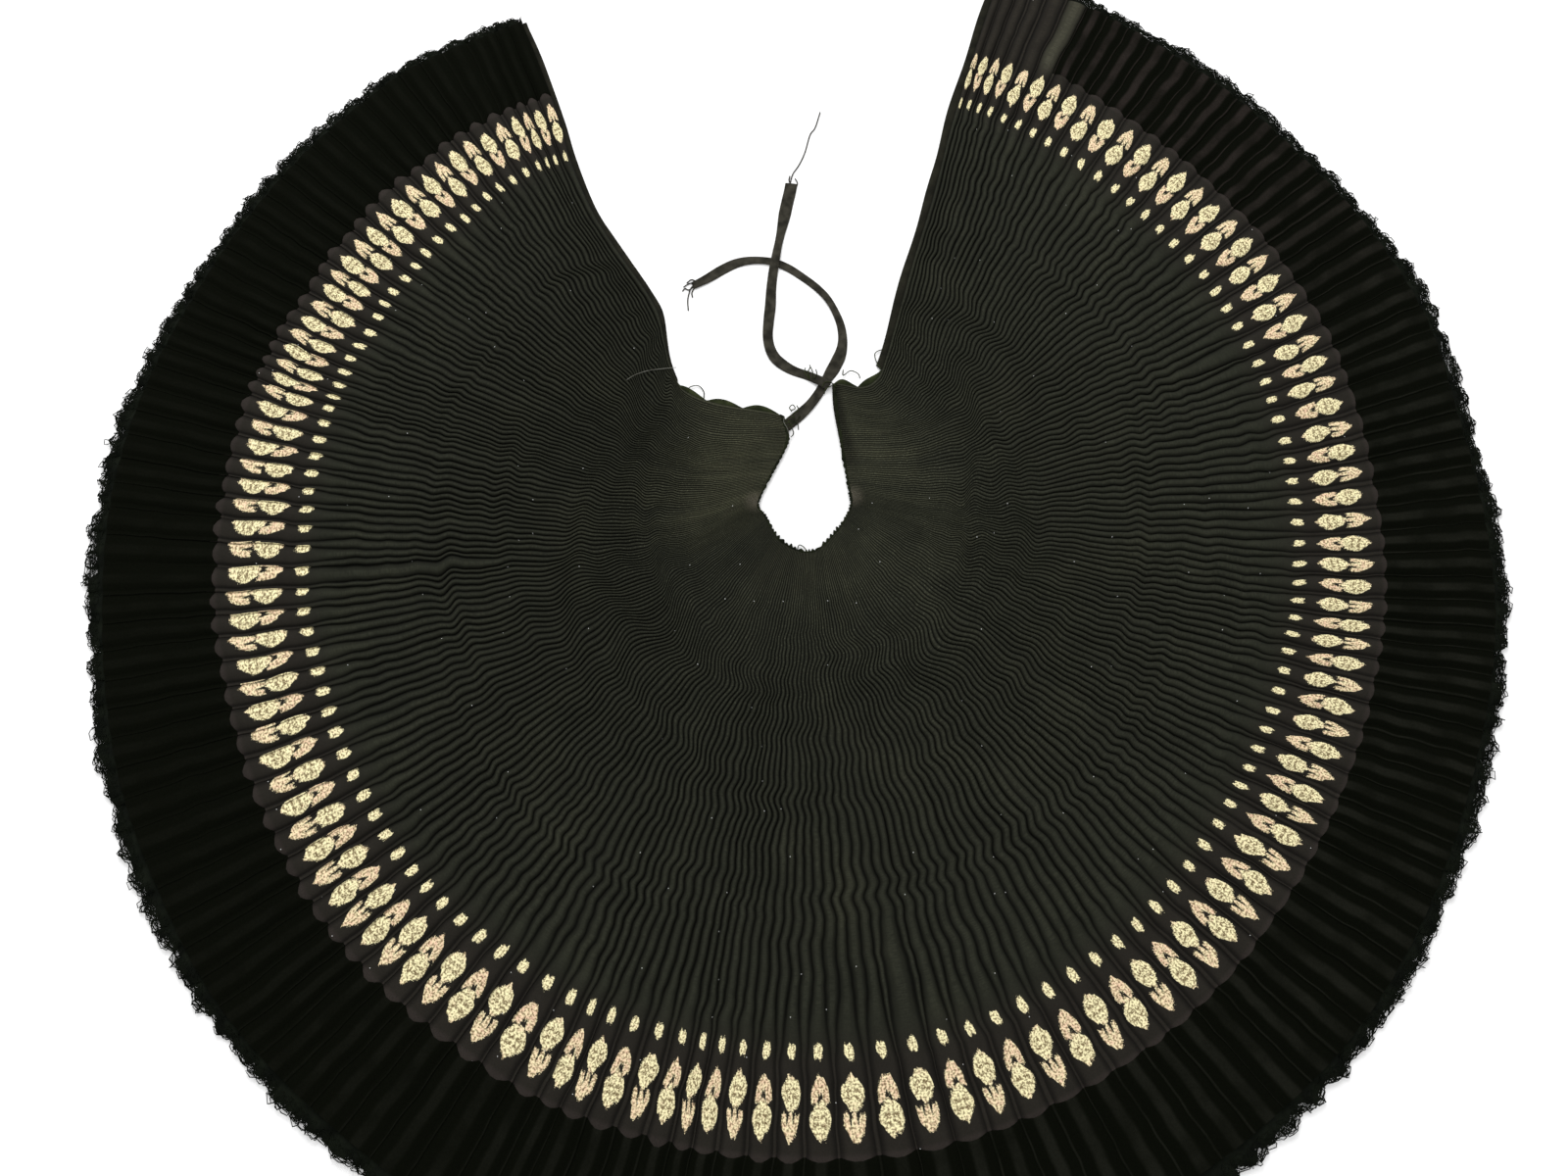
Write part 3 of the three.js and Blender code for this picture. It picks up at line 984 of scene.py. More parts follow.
@dataclass(frozen=True)
class ClothFinish:
    """Fine black pleated cloth with a woven border of leaves, buds and dashes."""

    name: str = "pleated_cloth"
    ground: Colour = (0.0138, 0.0147, 0.0098)
    worn: Colour = (0.043, 0.0435, 0.026)       # where the yoke has gone grey
    border: Colour = (0.0150, 0.0129, 0.0102)   # behind the motifs
    tongue: Colour = (0.0215, 0.0176, 0.0150)   # beside the velvet
    bare: Colour = (0.0128, 0.0112, 0.0082)     # on the pleats beyond the velvet's end
    bare_pleats: Pair = (122.5, 125.0)         # where that starts, softly
    smooth: Colour = (0.033, 0.032, 0.022)      # on the broad smooth pleat there
    cream: Colour = (0.84, 0.77, 0.46)
    rose: Colour = (0.70, 0.40, 0.31)
    between: Colour = (0.115, 0.075, 0.030)     # between the motifs' threads
    lint: Colour = (0.62, 0.63, 0.62)
    rubbed: Colour = (0.092, 0.082, 0.062)
    rubbed_spots: tuple[Point, ...] = ((-0.057, 0.034), (0.060, 0.042))
    woven: WovenBorder = WovenBorder()

    def cloth(self, shader: Shader, along: Signal) -> Signal:
        """Colour of the black ground with its wear.

        Args:
            shader: the shader.
            along: millimetres beyond the row of dashes.

        Returns:
            The colour.
        """
        spot, out, pleat = shader.spot(), shader.attribute("out"), shader.attribute("pleat")
        clouds = shader.noise(spot, 9.0, 3.0)
        rays = shader.noise(shader.joined(pleat * 0.42, out * 1.1, 0.0), 1.0, 2.0)
        yoke = (1.0 - out.rise(0.40, 1.35)) * (1.0 - pleat.rise(98.0, 112.0) * 0.45)
        yoke = yoke * (1.0 - pleat.rise(28.0, 46.0) * (1.0 - pleat.rise(92.0, 116.0)) * 0.85)
        share = yoke * (0.05 + rays * 1.1) + (clouds - 0.52) * 0.55 + (rays - 0.5) * 0.25
        colour = shader.mixed(self.ground, self.worn, share.most(0.0).least(1.0))
        colour = shader.mixed(colour, self.border, out.rise(2.85, 3.1) * 0.9)
        edge = BAND_START * 1000
        colour = shader.mixed(colour, self.tongue, along.rise(edge - 7.0, edge - 1.0))
        colour = shader.mixed(colour, self.bare, pleat.rise(*self.bare_pleats) * out.rise(2.9, 3.3) * 0.9)
        smooth = pleat.rise(UNDERLAP - 0.1, UNDERLAP + 0.1)
        smooth = smooth * (1.0 - pleat.rise(UNDERLAP + 0.85, UNDERLAP + 1.0))
        colour = shader.mixed(colour, self.smooth, smooth * out.rise(3.35, 3.5))
        for place in self.rubbed_spots:
            near = 1.0 - shader.distance(spot, (*place, 0.004)).rise(0.002, 0.018)
            colour = shader.mixed(colour, self.rubbed, near * (0.25 + clouds * 0.6))
        return colour

    def tone(self, shader: Shader, along: Signal) -> Signal:
        """Painted light and shade of the folds: painted shade in the valleys, and a beaded painted
        highlight on the ridges.

        Args:
            shader: the shader.
            along: millimetres beyond the row of dashes.

        Returns:
            The number that the ground's colour is multiplied by.
        """
        height, out, pleat = [shader.attribute(name) for name in ("height", "out", "pleat")]
        beads = shader.noise(shader.joined(pleat * 2.2, along * 0.60, 0.0), 1.0, 1.0).rise(0.30, 0.70)
        # painted highlight along the ridges, broken into beads
        painted_ridge_highlight = height.rise(0.70, 1.0) * (0.25 + beads)
        yoke_end = out.rise(0.6, 1.6)
        # painted shade, darkest down in the valleys, with the painted ridge highlight added
        painted_fold_shading = 0.14 + 0.10 * yoke_end + 0.59 * height.rise(0.04, 0.75)
        painted_fold_shading = painted_fold_shading + painted_ridge_highlight * (1.05 - yoke_end * 0.47)
        border = out.rise(2.75, 3.0) * (1.0 - pleat.rise(*self.bare_pleats) * 0.8)
        # in the border, only the painted shade of the valleys, without the ridge highlight
        painted_fold_shading = painted_fold_shading + (0.40 + 0.60 * height.rise(0.0, 0.75) - painted_fold_shading) * border
        # darker along the waist over pleats 106 to 116
        painted_fold_shading = painted_fold_shading * (1.0 - (1.0 - out.rise(0.08, 0.20)) * pleat.rise(106.0, 116.0) * 0.55)
        # painted highlight: pale glints on the threads of the yoke
        glints = shader.noise(shader.joined(pleat * 4.5, along * 0.30, 3.0), 1.0, 0.0).rise(0.66, 0.78)
        return painted_fold_shading * (1.0 + glints * (1.0 - out.rise(0.9, 1.9)) * 1.1)

    def build(self) -> bpy.types.Material:
        """Builds the material.

        Returns:
            The material.
        """
        shader = Shader(self.name)
        spot, height = shader.spot(), shader.attribute("height")
        woven, along = shader.attribute("woven"), shader.attribute("along") * 1000.0
        streak = shader.noise(shader.joined(woven * 9.0, along * 0.03, 0.0), 1.0, 0.0) - 0.5
        ragged = shader.noise(spot, 900.0, 1.0) - 0.5
        across = woven % 1.0 - 0.5 + ragged * 0.10
        second = (woven % 2.0).rise(0.99, 1.01)
        inside, rosy, strokes = self.woven.motif(across, along + streak * 9.0 + ragged * 8.0, second)
        motif = inside.rise(-0.004, 0.014)
        patches, thread = shader.noise(spot, 38.0, 2.0), shader.noise(spot, 700.0, 1.0)
        tone = self.tone(shader, along) * (0.75 + patches * 0.5) * (0.66 + thread * 0.68)
        colour = shader.toned(self.cloth(shader, along), tone)
        lines = (woven * 53.0 + streak * 6.0 + ragged * 5.0).sine()
        knots = shader.noise(shader.joined(woven * 15.0, along * 0.42, 1.0), 1.0, 1.0)
        share = (rosy + (shader.noise(spot, 240.0, 1.0) - 0.5) * 1.1 - 0.05).most(0.0).least(0.9)
        silk = shader.mixed(self.cream, self.rose, share)
        worn_through = (0.31 - lines * 0.16 + (knots - 0.5) * 4.0).most(0.0).least(0.85)
        silk = shader.mixed(silk, self.between, worn_through.most(strokes * 0.95))
        # painted shade: the motifs darker down in the valleys
        silk = shader.toned(silk, 0.60 + 0.45 * height.rise(0.0, 0.45))
        colour = shader.mixed(colour, silk, motif)
        speck, chosen = shader.dots(spot, 24.0)
        lint = (1.0 - speck.rise(0.007, 0.015)) * chosen.rise(0.68, 0.70)
        colour = shader.mixed(colour, self.lint, lint)
        weave = shader.noise(spot, 1500.0, 1.0) * 0.35 + motif * (0.9 + lines * 0.35 + knots * 0.5)
        shader.surface_inputs(
            Base_Color=colour, Roughness=0.86 - motif * 0.16, Normal=shader.bump(weave, 0.0005, 0.5),
            Specular_IOR_Level=0.08)
        return shader.material


@dataclass(frozen=True)
class VelvetFinish:
    """Deep black cotton velvet."""

    name: str = "velvet"
    ground: Colour = (0.0022, 0.0026, 0.0014)
    # painted highlight colour of the ridges
    painted_ridge_highlight: Colour = (0.0098, 0.0102, 0.0074)
    # browner painted highlight colour of the ridges over pleats 106 to 120, used only through the ridge
    # mask
    rubbed: Colour = (0.020, 0.0160, 0.0140)

    def build(self) -> bpy.types.Material:
        """Builds the material.

        Returns:
            The material.
        """
        shader = Shader(self.name)
        spot = shader.spot()
        height, pleat = shader.attribute("height"), shader.attribute("pleat")
        pile = shader.noise(spot, 420.0, 2.0)
        patches = shader.noise(spot, 26.0, 3.0)
        # painted highlight along the ridges, in patches, stronger from pleat 40 on
        painted_ridge_highlight = height.rise(0.72, 1.0) * (0.35 + patches.rise(0.30, 0.70) * 0.65)
        # painted ridge highlight colour, browner over pleats 106 to 120
        light = shader.mixed(self.painted_ridge_highlight, self.rubbed, pleat.rise(106.0, 120.0))
        colour = shader.mixed(self.ground, light, painted_ridge_highlight * (0.20 + 0.65 * pleat.rise(40.0, 75.0)))
        colour = shader.toned(colour, 0.7 + pile * 0.6)
        shader.surface_inputs(
            Base_Color=colour, Roughness=0.95, Normal=shader.bump(pile, 0.0006, 0.6),
            Specular_IOR_Level=0.02)
        return shader.material


class Weave(Enum):
    """How the threads of a plain finish run."""

    TWILL = "twill"
    PLAIN = "plain"


@dataclass(frozen=True)
class PlainFinish:
    """Plain woven or twisted trim in one colour."""

    name: str
    light: Colour
    dark: Colour
    weave: Weave = Weave.PLAIN
    scale: float = 900.0            # of the threads
    patch: float = 60.0             # and of the lighter and darker patches

    def build(self) -> bpy.types.Material:
        """Builds the material.

        Returns:
            The material.
        """
        shader = Shader(self.name)
        spot = shader.spot()
        clouds = shader.noise(spot, self.patch, 3.0)
        thread = shader.noise(spot, self.scale, 1.0)
        if self.weave is Weave.TWILL:
            ribs = shader.node("ShaderNodeTexWave", {"bands_direction": "DIAGONAL"},
                               {"Vector": spot, "Scale": self.scale, "Distortion": 1.5})
            thread = thread * 0.5 + ribs * 0.5
        colour = shader.mixed(self.dark, self.light, clouds.rise(0.3, 0.7))
        colour = shader.toned(colour, 0.7 + thread * 0.6)
        shader.surface_inputs(
            Base_Color=colour, Roughness=0.85, Normal=shader.bump(thread, 0.0003, 0.5),
            Specular_IOR_Level=0.06)
        return shader.material


HEM_FINISH = PlainFinish("hem_cloth", (0.015, 0.0145, 0.0095), (0.0075, 0.0075, 0.0050))
EDGING_FINISH = PlainFinish("green_edging", (0.030, 0.036, 0.014), (0.010, 0.013, 0.005))
BINDING_FINISH = PlainFinish("green_binding", (0.011, 0.014, 0.0055), (0.0030, 0.0042, 0.0018))
TAPE_FINISH = PlainFinish("faded_tape", (0.040, 0.037, 0.028), (0.014, 0.0132, 0.0098),
                          Weave.TWILL, 500.0, 90.0)
LACE_FINISH = PlainFinish("lace_thread", (0.0044, 0.0060, 0.0032), (0.0018, 0.0026, 0.0014))
THREAD_FINISH = PlainFinish("gathering_thread", (0.15, 0.15, 0.13), (0.07, 0.068, 0.056))


# Pieces

@dataclass(frozen=True)
class LooseThread:
    """One loose thread: its points over the surface, and its height at its two ends."""

    points: tuple[Point, ...]
    start: float
    end: float


DARK_THREADS = tuple(LooseThread(*row) for row in (
    (((-0.141, 0.190), (-0.138, 0.197), (-0.128, 0.199), (-0.121, 0.191), (-0.121, 0.180)), 0.003, 0.0015),
    (((0.052, 0.222), (0.052, 0.214), (0.061, 0.220), (0.070, 0.216), (0.073, 0.209)), 0.0020, 0.0045),
    (((0.099, 0.222), (0.094, 0.232), (0.092, 0.244), (0.099, 0.250), (0.111, 0.251)), 0.0040, 0.0012),
    (((-0.012, 0.163), (-0.015, 0.168), (-0.011, 0.172), (-0.008, 0.167), (-0.013, 0.164)), 0.0045, 0.0050),
    (((-0.010, 0.160), (-0.004, 0.165), (-0.006, 0.171)), 0.0045, 0.0050),
    (((0.011, 0.208), (0.008, 0.216), (0.011, 0.224)), 0.0042, 0.0052),
    (((0.013, 0.208), (0.014, 0.217), (0.010, 0.227)), 0.0042, 0.0052),
    (((0.009, 0.209), (0.004, 0.217), (0.005, 0.223)), 0.0042, 0.0050),
    (((0.015, 0.208), (0.019, 0.214), (0.018, 0.221)), 0.0042, 0.0050),
    (((0.006, -0.021), (0.001, -0.014), (-0.004, -0.012), (-0.006, -0.018)), 0.0045, 0.0020),
    (((-0.020, 0.146), (-0.012, 0.150), (-0.005, 0.146), (-0.004, 0.139)), 0.0052, 0.0030),
    (((-0.019, 0.141), (-0.013, 0.145), (-0.006, 0.151), (-0.002, 0.158)), 0.0054, 0.0030),
    (((-0.017, 0.152), (-0.013, 0.143), (-0.010, 0.134), (-0.013, 0.129)), 0.0050, 0.0032),
    (((-0.021, 0.150), (-0.015, 0.156), (-0.009, 0.154), (-0.011, 0.161)), 0.0046, 0.0038),
    (((0.044, 0.196), (0.036, 0.203), (0.029, 0.203), (0.026, 0.197)), 0.0052, 0.0046),
    (((0.045, 0.203), (0.037, 0.198), (0.030, 0.194), (0.028, 0.187)), 0.0052, 0.0046),
))
TAPE_THREADS = tuple(LooseThread(*row) for row in (
    (((-0.014, 0.496), (-0.010, 0.512), (-0.002, 0.526), (0.006, 0.546), (0.013, 0.574), (0.020, 0.586),
      (0.027, 0.611)), 0.0012, 0.0007),
    (((-0.012, 0.494), (-0.015, 0.502), (-0.014, 0.509)), 0.0012, 0.0006),
    (((-0.006, 0.491), (-0.004, 0.498), (-0.007, 0.505)), 0.0012, 0.0006),
    (((-0.136, 0.344), (-0.141, 0.337), (-0.144, 0.322), (-0.143, 0.306)), 0.0012, 0.0006),
    (((-0.137, 0.341), (-0.143, 0.336), (-0.148, 0.338), (-0.151, 0.334)), 0.0012, 0.0006),
    (((-0.135, 0.346), (-0.143, 0.345), (-0.150, 0.340)), 0.0014, 0.0006),
    (((-0.136, 0.339), (-0.139, 0.332), (-0.138, 0.325)), 0.0012, 0.0006),
    (((-0.134, 0.348), (-0.140, 0.351), (-0.146, 0.346)), 0.0014, 0.0006),
))
PALE_THREADS = tuple(LooseThread(*row) for row in (
    (((-0.216, 0.204), (-0.206, 0.211), (-0.190, 0.217), (-0.172, 0.220), (-0.155, 0.222)), 0.0078, 0.0066),
    (((-0.021, 0.155), (-0.022, 0.148), (-0.018, 0.140), (-0.016, 0.133)), 0.0062, 0.0062),
))


@dataclass
class LooseThreads:
    """Thread ends and loops that have worked loose at the ties, the yoke's edges and the waist."""

    steps: int = 8
    dark_diameter: float = 0.0013
    tape_diameter: float = 0.0016
    pale_diameter: float = 0.0009
    clearance: float = 0.0002       # least gap above the floor

    def bunch(self, name: str, specs: Sequence[LooseThread], diameter: float,
              material: bpy.types.Material, slot: Slot) -> None:
        """Builds and dresses one bunch of threads.

        Args:
            name: name of the piece.
            specs: its threads.
            diameter: how thick they are.
            material: their finish.
            slot: material slot of the record.
        """
        lines = []
        for spec in specs:
            plan = rounded_line(spec.points, self.steps) + TABLE_SHIFT
            height = np.linspace(spec.start, spec.end, len(plan))
            height = np.maximum(height, diameter / 2 + self.clearance)
            lines.append(np.concatenate([plan, height[:, None]], 1))
        dress(threads(name, lines, diameter, 1), material, slot)

    def build(self) -> None:
        """Builds all the threads."""
        self.bunch("loose_dark", DARK_THREADS, self.dark_diameter, EDGING_FINISH.build(), Slot.EDGING)
        self.bunch("loose_tape", TAPE_THREADS, self.tape_diameter, TAPE_FINISH.build(), Slot.TAPE)
        self.bunch("loose_pale", PALE_THREADS, self.pale_diameter, THREAD_FINISH.build(), Slot.EDGING)


@dataclass(frozen=True)
class TieSpec:
    """One waist tie: the line that it follows, and its width by the distance from the waist."""

    name: str
    route: tuple[Point, ...]
    widths: Curve                   # shares of its usual width
    steps: int = 12


LEFT_TIE = TieSpec("tie_left_tape", (
    (-0.0200, 0.1440), (-0.005, 0.1575), (0.0105, 0.174), (0.022, 0.191), (0.031, 0.208), (0.041, 0.226),
    (0.049, 0.245), (0.052, 0.264), (0.050, 0.285), (0.043, 0.306), (0.033, 0.325), (0.019, 0.341),
    (0.001, 0.356), (-0.017, 0.369), (-0.037, 0.378), (-0.060, 0.380), (-0.081, 0.376), (-0.100, 0.366),
    (-0.119, 0.353), (-0.138, 0.342)),
    Curve((0.0, 0.025, 0.050, 0.080, 0.095, 0.110, 0.150, 0.250, 0.340, 0.380, 0.410),
          (1.25, 1.25, 1.10, 1.00, 1.30, 1.45, 0.90, 0.85, 1.05, 1.15, 0.90)))
RIGHT_TIE = TieSpec("tie_right_tape", (
    (0.0342, 0.1986), (0.022, 0.2065), (0.008, 0.214), (-0.007, 0.2195), (-0.020, 0.227), (-0.032, 0.238),
    (-0.039, 0.252), (-0.042, 0.270), (-0.041, 0.292), (-0.039, 0.314), (-0.038, 0.336), (-0.036, 0.358),
    (-0.033, 0.378), (-0.030, 0.398), (-0.026, 0.420), (-0.022, 0.442), (-0.018, 0.464), (-0.014, 0.484),
    (-0.012, 0.497)),
    Curve((0.0, 0.040, 0.070, 0.100, 0.160, 0.220, 0.260, 0.290, 0.315, 0.345),
          (1.10, 1.00, 1.20, 1.10, 1.15, 0.95, 0.95, 1.30, 1.60, 1.35)))


@dataclass
class Ties:
    """The two waist ties, each one limp tape with a cut, frayed end."""

    width: float = 0.010
    thickness: float = 0.0011
    rounding: int = 12
    spread: float = 1.18            # how much wider the crumpled tape lies than in the tables
    widest: float = 1.60
    low: float = 0.0012             # height of its middle on the floor
    high: float = 0.0036            # and over the other tie
    clearance: float = 0.0002
    hump: float = 1.25              # flatness of the top of each crossing
    crossings: tuple[tuple[Point, float], ...] = (((0.030, 0.204), 0.026), ((-0.033, 0.378), 0.034))

    def height(self, spots: np.ndarray, crosses: bool) -> np.ndarray:
        """Height of a tape's middle along its route.

        Args:
            spots: x and y of points of the route.
            crosses: whether it lies over the other tape.

        Returns:
            The heights.
        """
        if not crosses:
            return np.full(len(spots), self.low)
        shares = [np.minimum(np.linalg.norm(spots - np.array(at), axis=1) / reach, 1)
                  for at, reach in self.crossings]
        humps = 0.5 + 0.5 * np.cos(np.pi * np.array(shares))
        return self.low + (self.high - self.low) * np.minimum(1, self.hump * np.max(humps, 0))

    def tape(self, spec: TieSpec, crosses: bool) -> tuple[bpy.types.Object, np.ndarray]:
        """Sweeps a flat rounded section along a route.

        Args:
            spec: the tie.
            crosses: whether it lies over the other tape.

        Returns:
            The tape, and its middle line.
        """
        middle = rounded_line(spec.route, spec.steps)
        line = np.concatenate([middle + TABLE_SHIFT, self.height(middle, crosses)[:, None]], 1)
        ahead = np.gradient(line[:, :2], axis=0)
        ahead /= np.linalg.norm(ahead, axis=1)[:, None]
        aside = np.stack([-ahead[:, 1], ahead[:, 0]], 1)
        walked = np.concatenate([[0], np.cumsum(np.linalg.norm(np.diff(line, axis=0), axis=1))])
        wave = self.spread * spec.widths.at(walked) + 0.03 * np.sin(walked * 95)
        wave = np.minimum(wave, self.widest)
        tilt = 0.0007 * np.sin(walked * 60 + 2) * smooth_curve((0, 0.03), (0, 1), walked)
        turn = 2 * np.pi * (np.arange(self.rounding) + 0.5) / self.rounding
        wide = np.sign(np.cos(turn)) * np.abs(np.cos(turn)) ** 0.6 / abs(math.cos(turn[0])) ** 0.6
        thick = np.sign(np.sin(turn)) * np.abs(np.sin(turn)) ** 0.8
        piece, row, column = add_grid(spec.name, len(line), self.rounding + 1)
        column = column % self.rounding
        half = (self.width / 2 * wave)[row] * wide[column]
        rise = self.thickness / 2 * thick[column] + tilt[row] * wide[column]
        plan = line[row, :2] + aside[row] * half[:, None]
        height = np.maximum(line[row, 2] + rise, self.clearance)
        set_points(piece, np.concatenate([plan, height[:, None]], 1))
        select_only(piece)
        bpy.ops.object.mode_set(mode="EDIT")
        bpy.ops.mesh.select_all(action="SELECT")
        bpy.ops.mesh.remove_doubles(threshold=1e-6)
        bpy.ops.mesh.select_all(action="DESELECT")
        bpy.ops.mesh.select_non_manifold()
        bpy.ops.mesh.fill_holes(sides=self.rounding + 2)
        bpy.ops.mesh.select_all(action="SELECT")
        bpy.ops.mesh.normals_make_consistent(inside=False)
        bpy.ops.object.mode_set(mode="OBJECT")
        return piece, line

    def build(self) -> None:
        """Builds and dresses both ties."""
        material = TAPE_FINISH.build()
        for spec, node, crosses in ((LEFT_TIE, "tie_left", False), (RIGHT_TIE, "tie_right", True)):
            tape, line = self.tape(spec, crosses)
            dress(tape, material, Slot.TAPE, node)


@dataclass
class Cloth:
    """The four widths of pleated cloth and the bare stretch beyond the velvet."""

    folds: Folds = Folds()
    yoke_rows: int = 26
    field_rows: int = 104
    border_rows: int = 19
    underlap_rows: int = 20
    names: tuple[str, ...] = ("left", "back", "right", "front")
    cuts: tuple[Pair, ...] = ((0.97, 0.67), (1.12, 0.67), (1.12, 0.67), (0.65, 0.67))
    areas: tuple[float, ...] = (0.44, 0.56, 0.57, 0.31)
    underlap_cut: Pair = (0.16, 0.125)
    start: float = 0.012            # ring where the cloth starts
    yoke_end: float = 0.95
    tuck: float = 0.030             # how far it runs on under the velvet, in rings

    def rows(self) -> np.ndarray:
        """How far out each row of the cloth lies."""
        return np.concatenate([
            np.linspace(self.start, self.yoke_end, self.yoke_rows, endpoint=False),
            np.linspace(self.yoke_end, 3, self.field_rows, endpoint=False),
            np.linspace(3, BAND_FROM + self.tuck, self.border_rows)])

    def build(self, trims: dict[str, list[bpy.types.Object]]) -> list[bpy.types.Object]:
        """Args:
            trims: the hem and edging that are sewn to a width, by its name; not used.

        Returns:
            The pieces.
        """
        material = ClothFinish().build()
        edges = (0, *SEAMS, PLEATS)
        pieces = []
        for name, first, last, cut, area in zip(self.names, edges, edges[1:], self.cuts, self.areas):
            piece = lay_cloth(f"cloth_{name}", self.folds.relief(self.rows(), first, last))
            dress(piece, material, Slot.CLOTH, f"panel_{name}", f"yoke_{name}")
            LOG.info("%s has %.3f square metres", piece.name, area_of(piece))
            pieces.append(piece)
        outs = np.linspace(BAND_FROM + self.tuck, BAND_TO, self.underlap_rows)
        piece = lay_cloth("cloth_underlap", self.folds.relief(outs, UNDERLAP, PLEATS))
        dress(piece, material, Slot.CLOTH, "hem_underlap")
        LOG.info("%s has %.3f square metres", piece.name, area_of(piece))
        pieces.append(piece)
        return pieces


@dataclass
class VelvetBand:
    """Velvet band round the hem, which lies on the cloth."""

    folds: Folds = Folds()
    rows: int = 28
    pile: float = 0.0012
    scallop: float = 0.0060
    cut: Pair = (3.9, 0.14)
    lip: Pair = (-0.002, 0.001)    # rings from the inner edge to its first two rows
    # Rows at the edges, and the share of the pile's height that they lose
    drops: tuple[tuple[int, float], ...] = ((0, 0.9), (1, 0.35), (-1, 0.8))

    def build(self, under: Sequence[bpy.types.Object]) -> bpy.types.Object:
        """Args:
            under: the cloth that it lies on; not used.

        Returns:
            The piece.
        """
        out = np.linspace(BAND_FROM, BAND_TO, self.rows)
        out = np.concatenate([BAND_FROM + np.array(self.lip), out[1:]])
        relief = self.folds.relief(out, 0, UNDERLAP, self.pile, self.scallop)
        for row, share in self.drops:
            relief.spot[row, :, 2] -= self.pile * share
        piece = lay_cloth("velvet_pile", relief)
        dress(piece, VelvetFinish().build(), Slot.VELVET, "velvet_band")
        LOG.info("velvet has %.3f square metres", area_of(piece))
        return piece


@dataclass(frozen=True)
class LoopRow:
    """One row of the lace's loops."""

    seed: int
    count: int                      # loops for each pleat
    starts: Pair                   # least and most share of the lace where they start
    sizes: Pair                    # least and most share that they reach further


@dataclass
class Lace:
    """Gathered lace edging: close next to the velvet, and an open tangle of loops beyond."""

    columns: int = 14               # for each pleat
    rows: int = 6
    # How far it reaches beyond the velvet in metres, and how much of that is close, by pleat
    reaches: Curve = Curve(
        (0, 8, 14, 20, 26, 34, 46, 62, 76, 92, 104, 110, 116, 131),
        (0.016, 0.018, 0.019, 0.018, 0.020, 0.022, 0.021, 0.021, 0.022, 0.019, 0.019, 0.020, 0.019, 0.018))
    close: Curve = Curve((0, 14, 30, 62, 82, 112, 131), (0.62, 0.70, 0.74, 0.74, 0.74, 0.60, 0.64))
    tuck: float = 0.0040            # how far it reaches under the velvet
    thread: float = 0.00120
    outer: LoopRow = LoopRow(58, 22, (0.54, 0.88), (0.14, 0.32))
    inner: LoopRow = LoopRow(61, 15, (0.36, 0.64), (0.16, 0.30))
    loop_points: int = 7
    chains: int = 2
    chain_shares: Pair = (0.74, 0.94)
    chain_seed: int = 59
    cut: Pair = (5.2, 0.016)

    def reach(self, pleat: np.ndarray) -> np.ndarray:
        """How far the lace's edge lies beyond the velvet.

        Args:
            pleat: places along the edge.

        Returns:
            Metres beyond the velvet.
        """
        peak = 1 - np.abs(2 * ((pleat + 0.35 * Drift(56, (2.3, 1.0)).at(pleat, 0 * pleat)) % 1.0) - 1)
        uneven = Drift(51, (1.7, 1.0)).at(pleat, 0 * pleat)
        fine = Drift(52, (0.33, 1.0)).at(pleat, 0 * pleat)
        return self.reaches.at(pleat) * (0.78 + 0.22 * peak + 0.20 * uneven + 0.16 * fine)

    def surface(self, pleat: np.ndarray, share: np.ndarray) -> np.ndarray:
        """Points of the gathered lace.

        Args:
            pleat: pleat of each point.
            share: share of the way from the velvet to the edge.

        Returns:
            x, y and z of each point.
        """
        start = BAND_TO - self.tuck / HEM_REACH
        out = start + (self.reach(pleat) + self.tuck) * share / HEM_REACH
        fold = pleat + 0.18 * Drift(57, (0.9, 0.4)).at(pleat, share)
        wave = 1 - np.abs(2 * (fold % 1.0) - 1) ** 2.0
        small = 0.5 + 0.5 * np.sin(2 * np.pi * (3.5 * fold + 0.2 * share))
        crush = 0.80 + 0.20 * Drift(54, (1.4, 0.6)).at(pleat, share)
        high = 0.0084 - 0.0034 * share
        z = 0.0007 + high * (0.10 + 0.75 * wave * crush + 0.20 * small * share)
        aside = 0.0022 * np.sin(2 * np.pi * 3.5 * fold) + 0.0016 * Drift(55, (0.5, 0.5)).at(pleat, share)
        aside = share * aside
        return np.concatenate([PLAN.beside(pleat, out, aside), z[..., None]], -1)

    def close_part(self) -> bpy.types.Object:
        """Close, crumpled part of the lace with its ragged edge.

        Returns:
            The piece.
        """
        steps = PLEATS * self.columns
        piece, row, column = add_grid("lace_close", self.rows, steps + 1)
        pleat = column / steps * PLEATS
        ragged = 1 + 0.24 * Drift(60, (0.20, 1.0)).at(pleat, 0 * pleat)
        ragged = ragged + 0.14 * Drift(62, (1.1, 1.0)).at(pleat, 0 * pleat)
        set_points(piece, self.surface(pleat, row / (self.rows - 1) * self.close.at(pleat) * ragged))
        return piece

    def loop_lines(self, loops: LoopRow) -> list[np.ndarray]:
        """Crinkled loops that stand out of the close part.

        Args:
            loops: the row of loops.

        Returns:
            The points of each loop.
        """
        draw = np.random.default_rng(loops.seed)
        count = PLEATS * loops.count
        turn = np.linspace(0, 2 * np.pi, self.loop_points)[None, :]
        at = np.linspace(0.15, PLEATS - 0.15, count)[:, None]
        start, size = draw.uniform(*loops.starts, (count, 1)), draw.uniform(*loops.sizes, (count, 1))
        wide, lean = draw.uniform(0.05, 0.14, (count, 1)), draw.uniform(-0.10, 0.10, (count, 1))
        rough = draw.normal(0, 0.15, (2, count, turn.shape[1]))
        away = (1 - np.cos(turn)) / 2
        pleat = np.clip(at + wide * (np.sin(turn) + rough[0]) + lean * away, 0, PLEATS)
        return list(self.surface(pleat, start + size * (away + rough[1])))

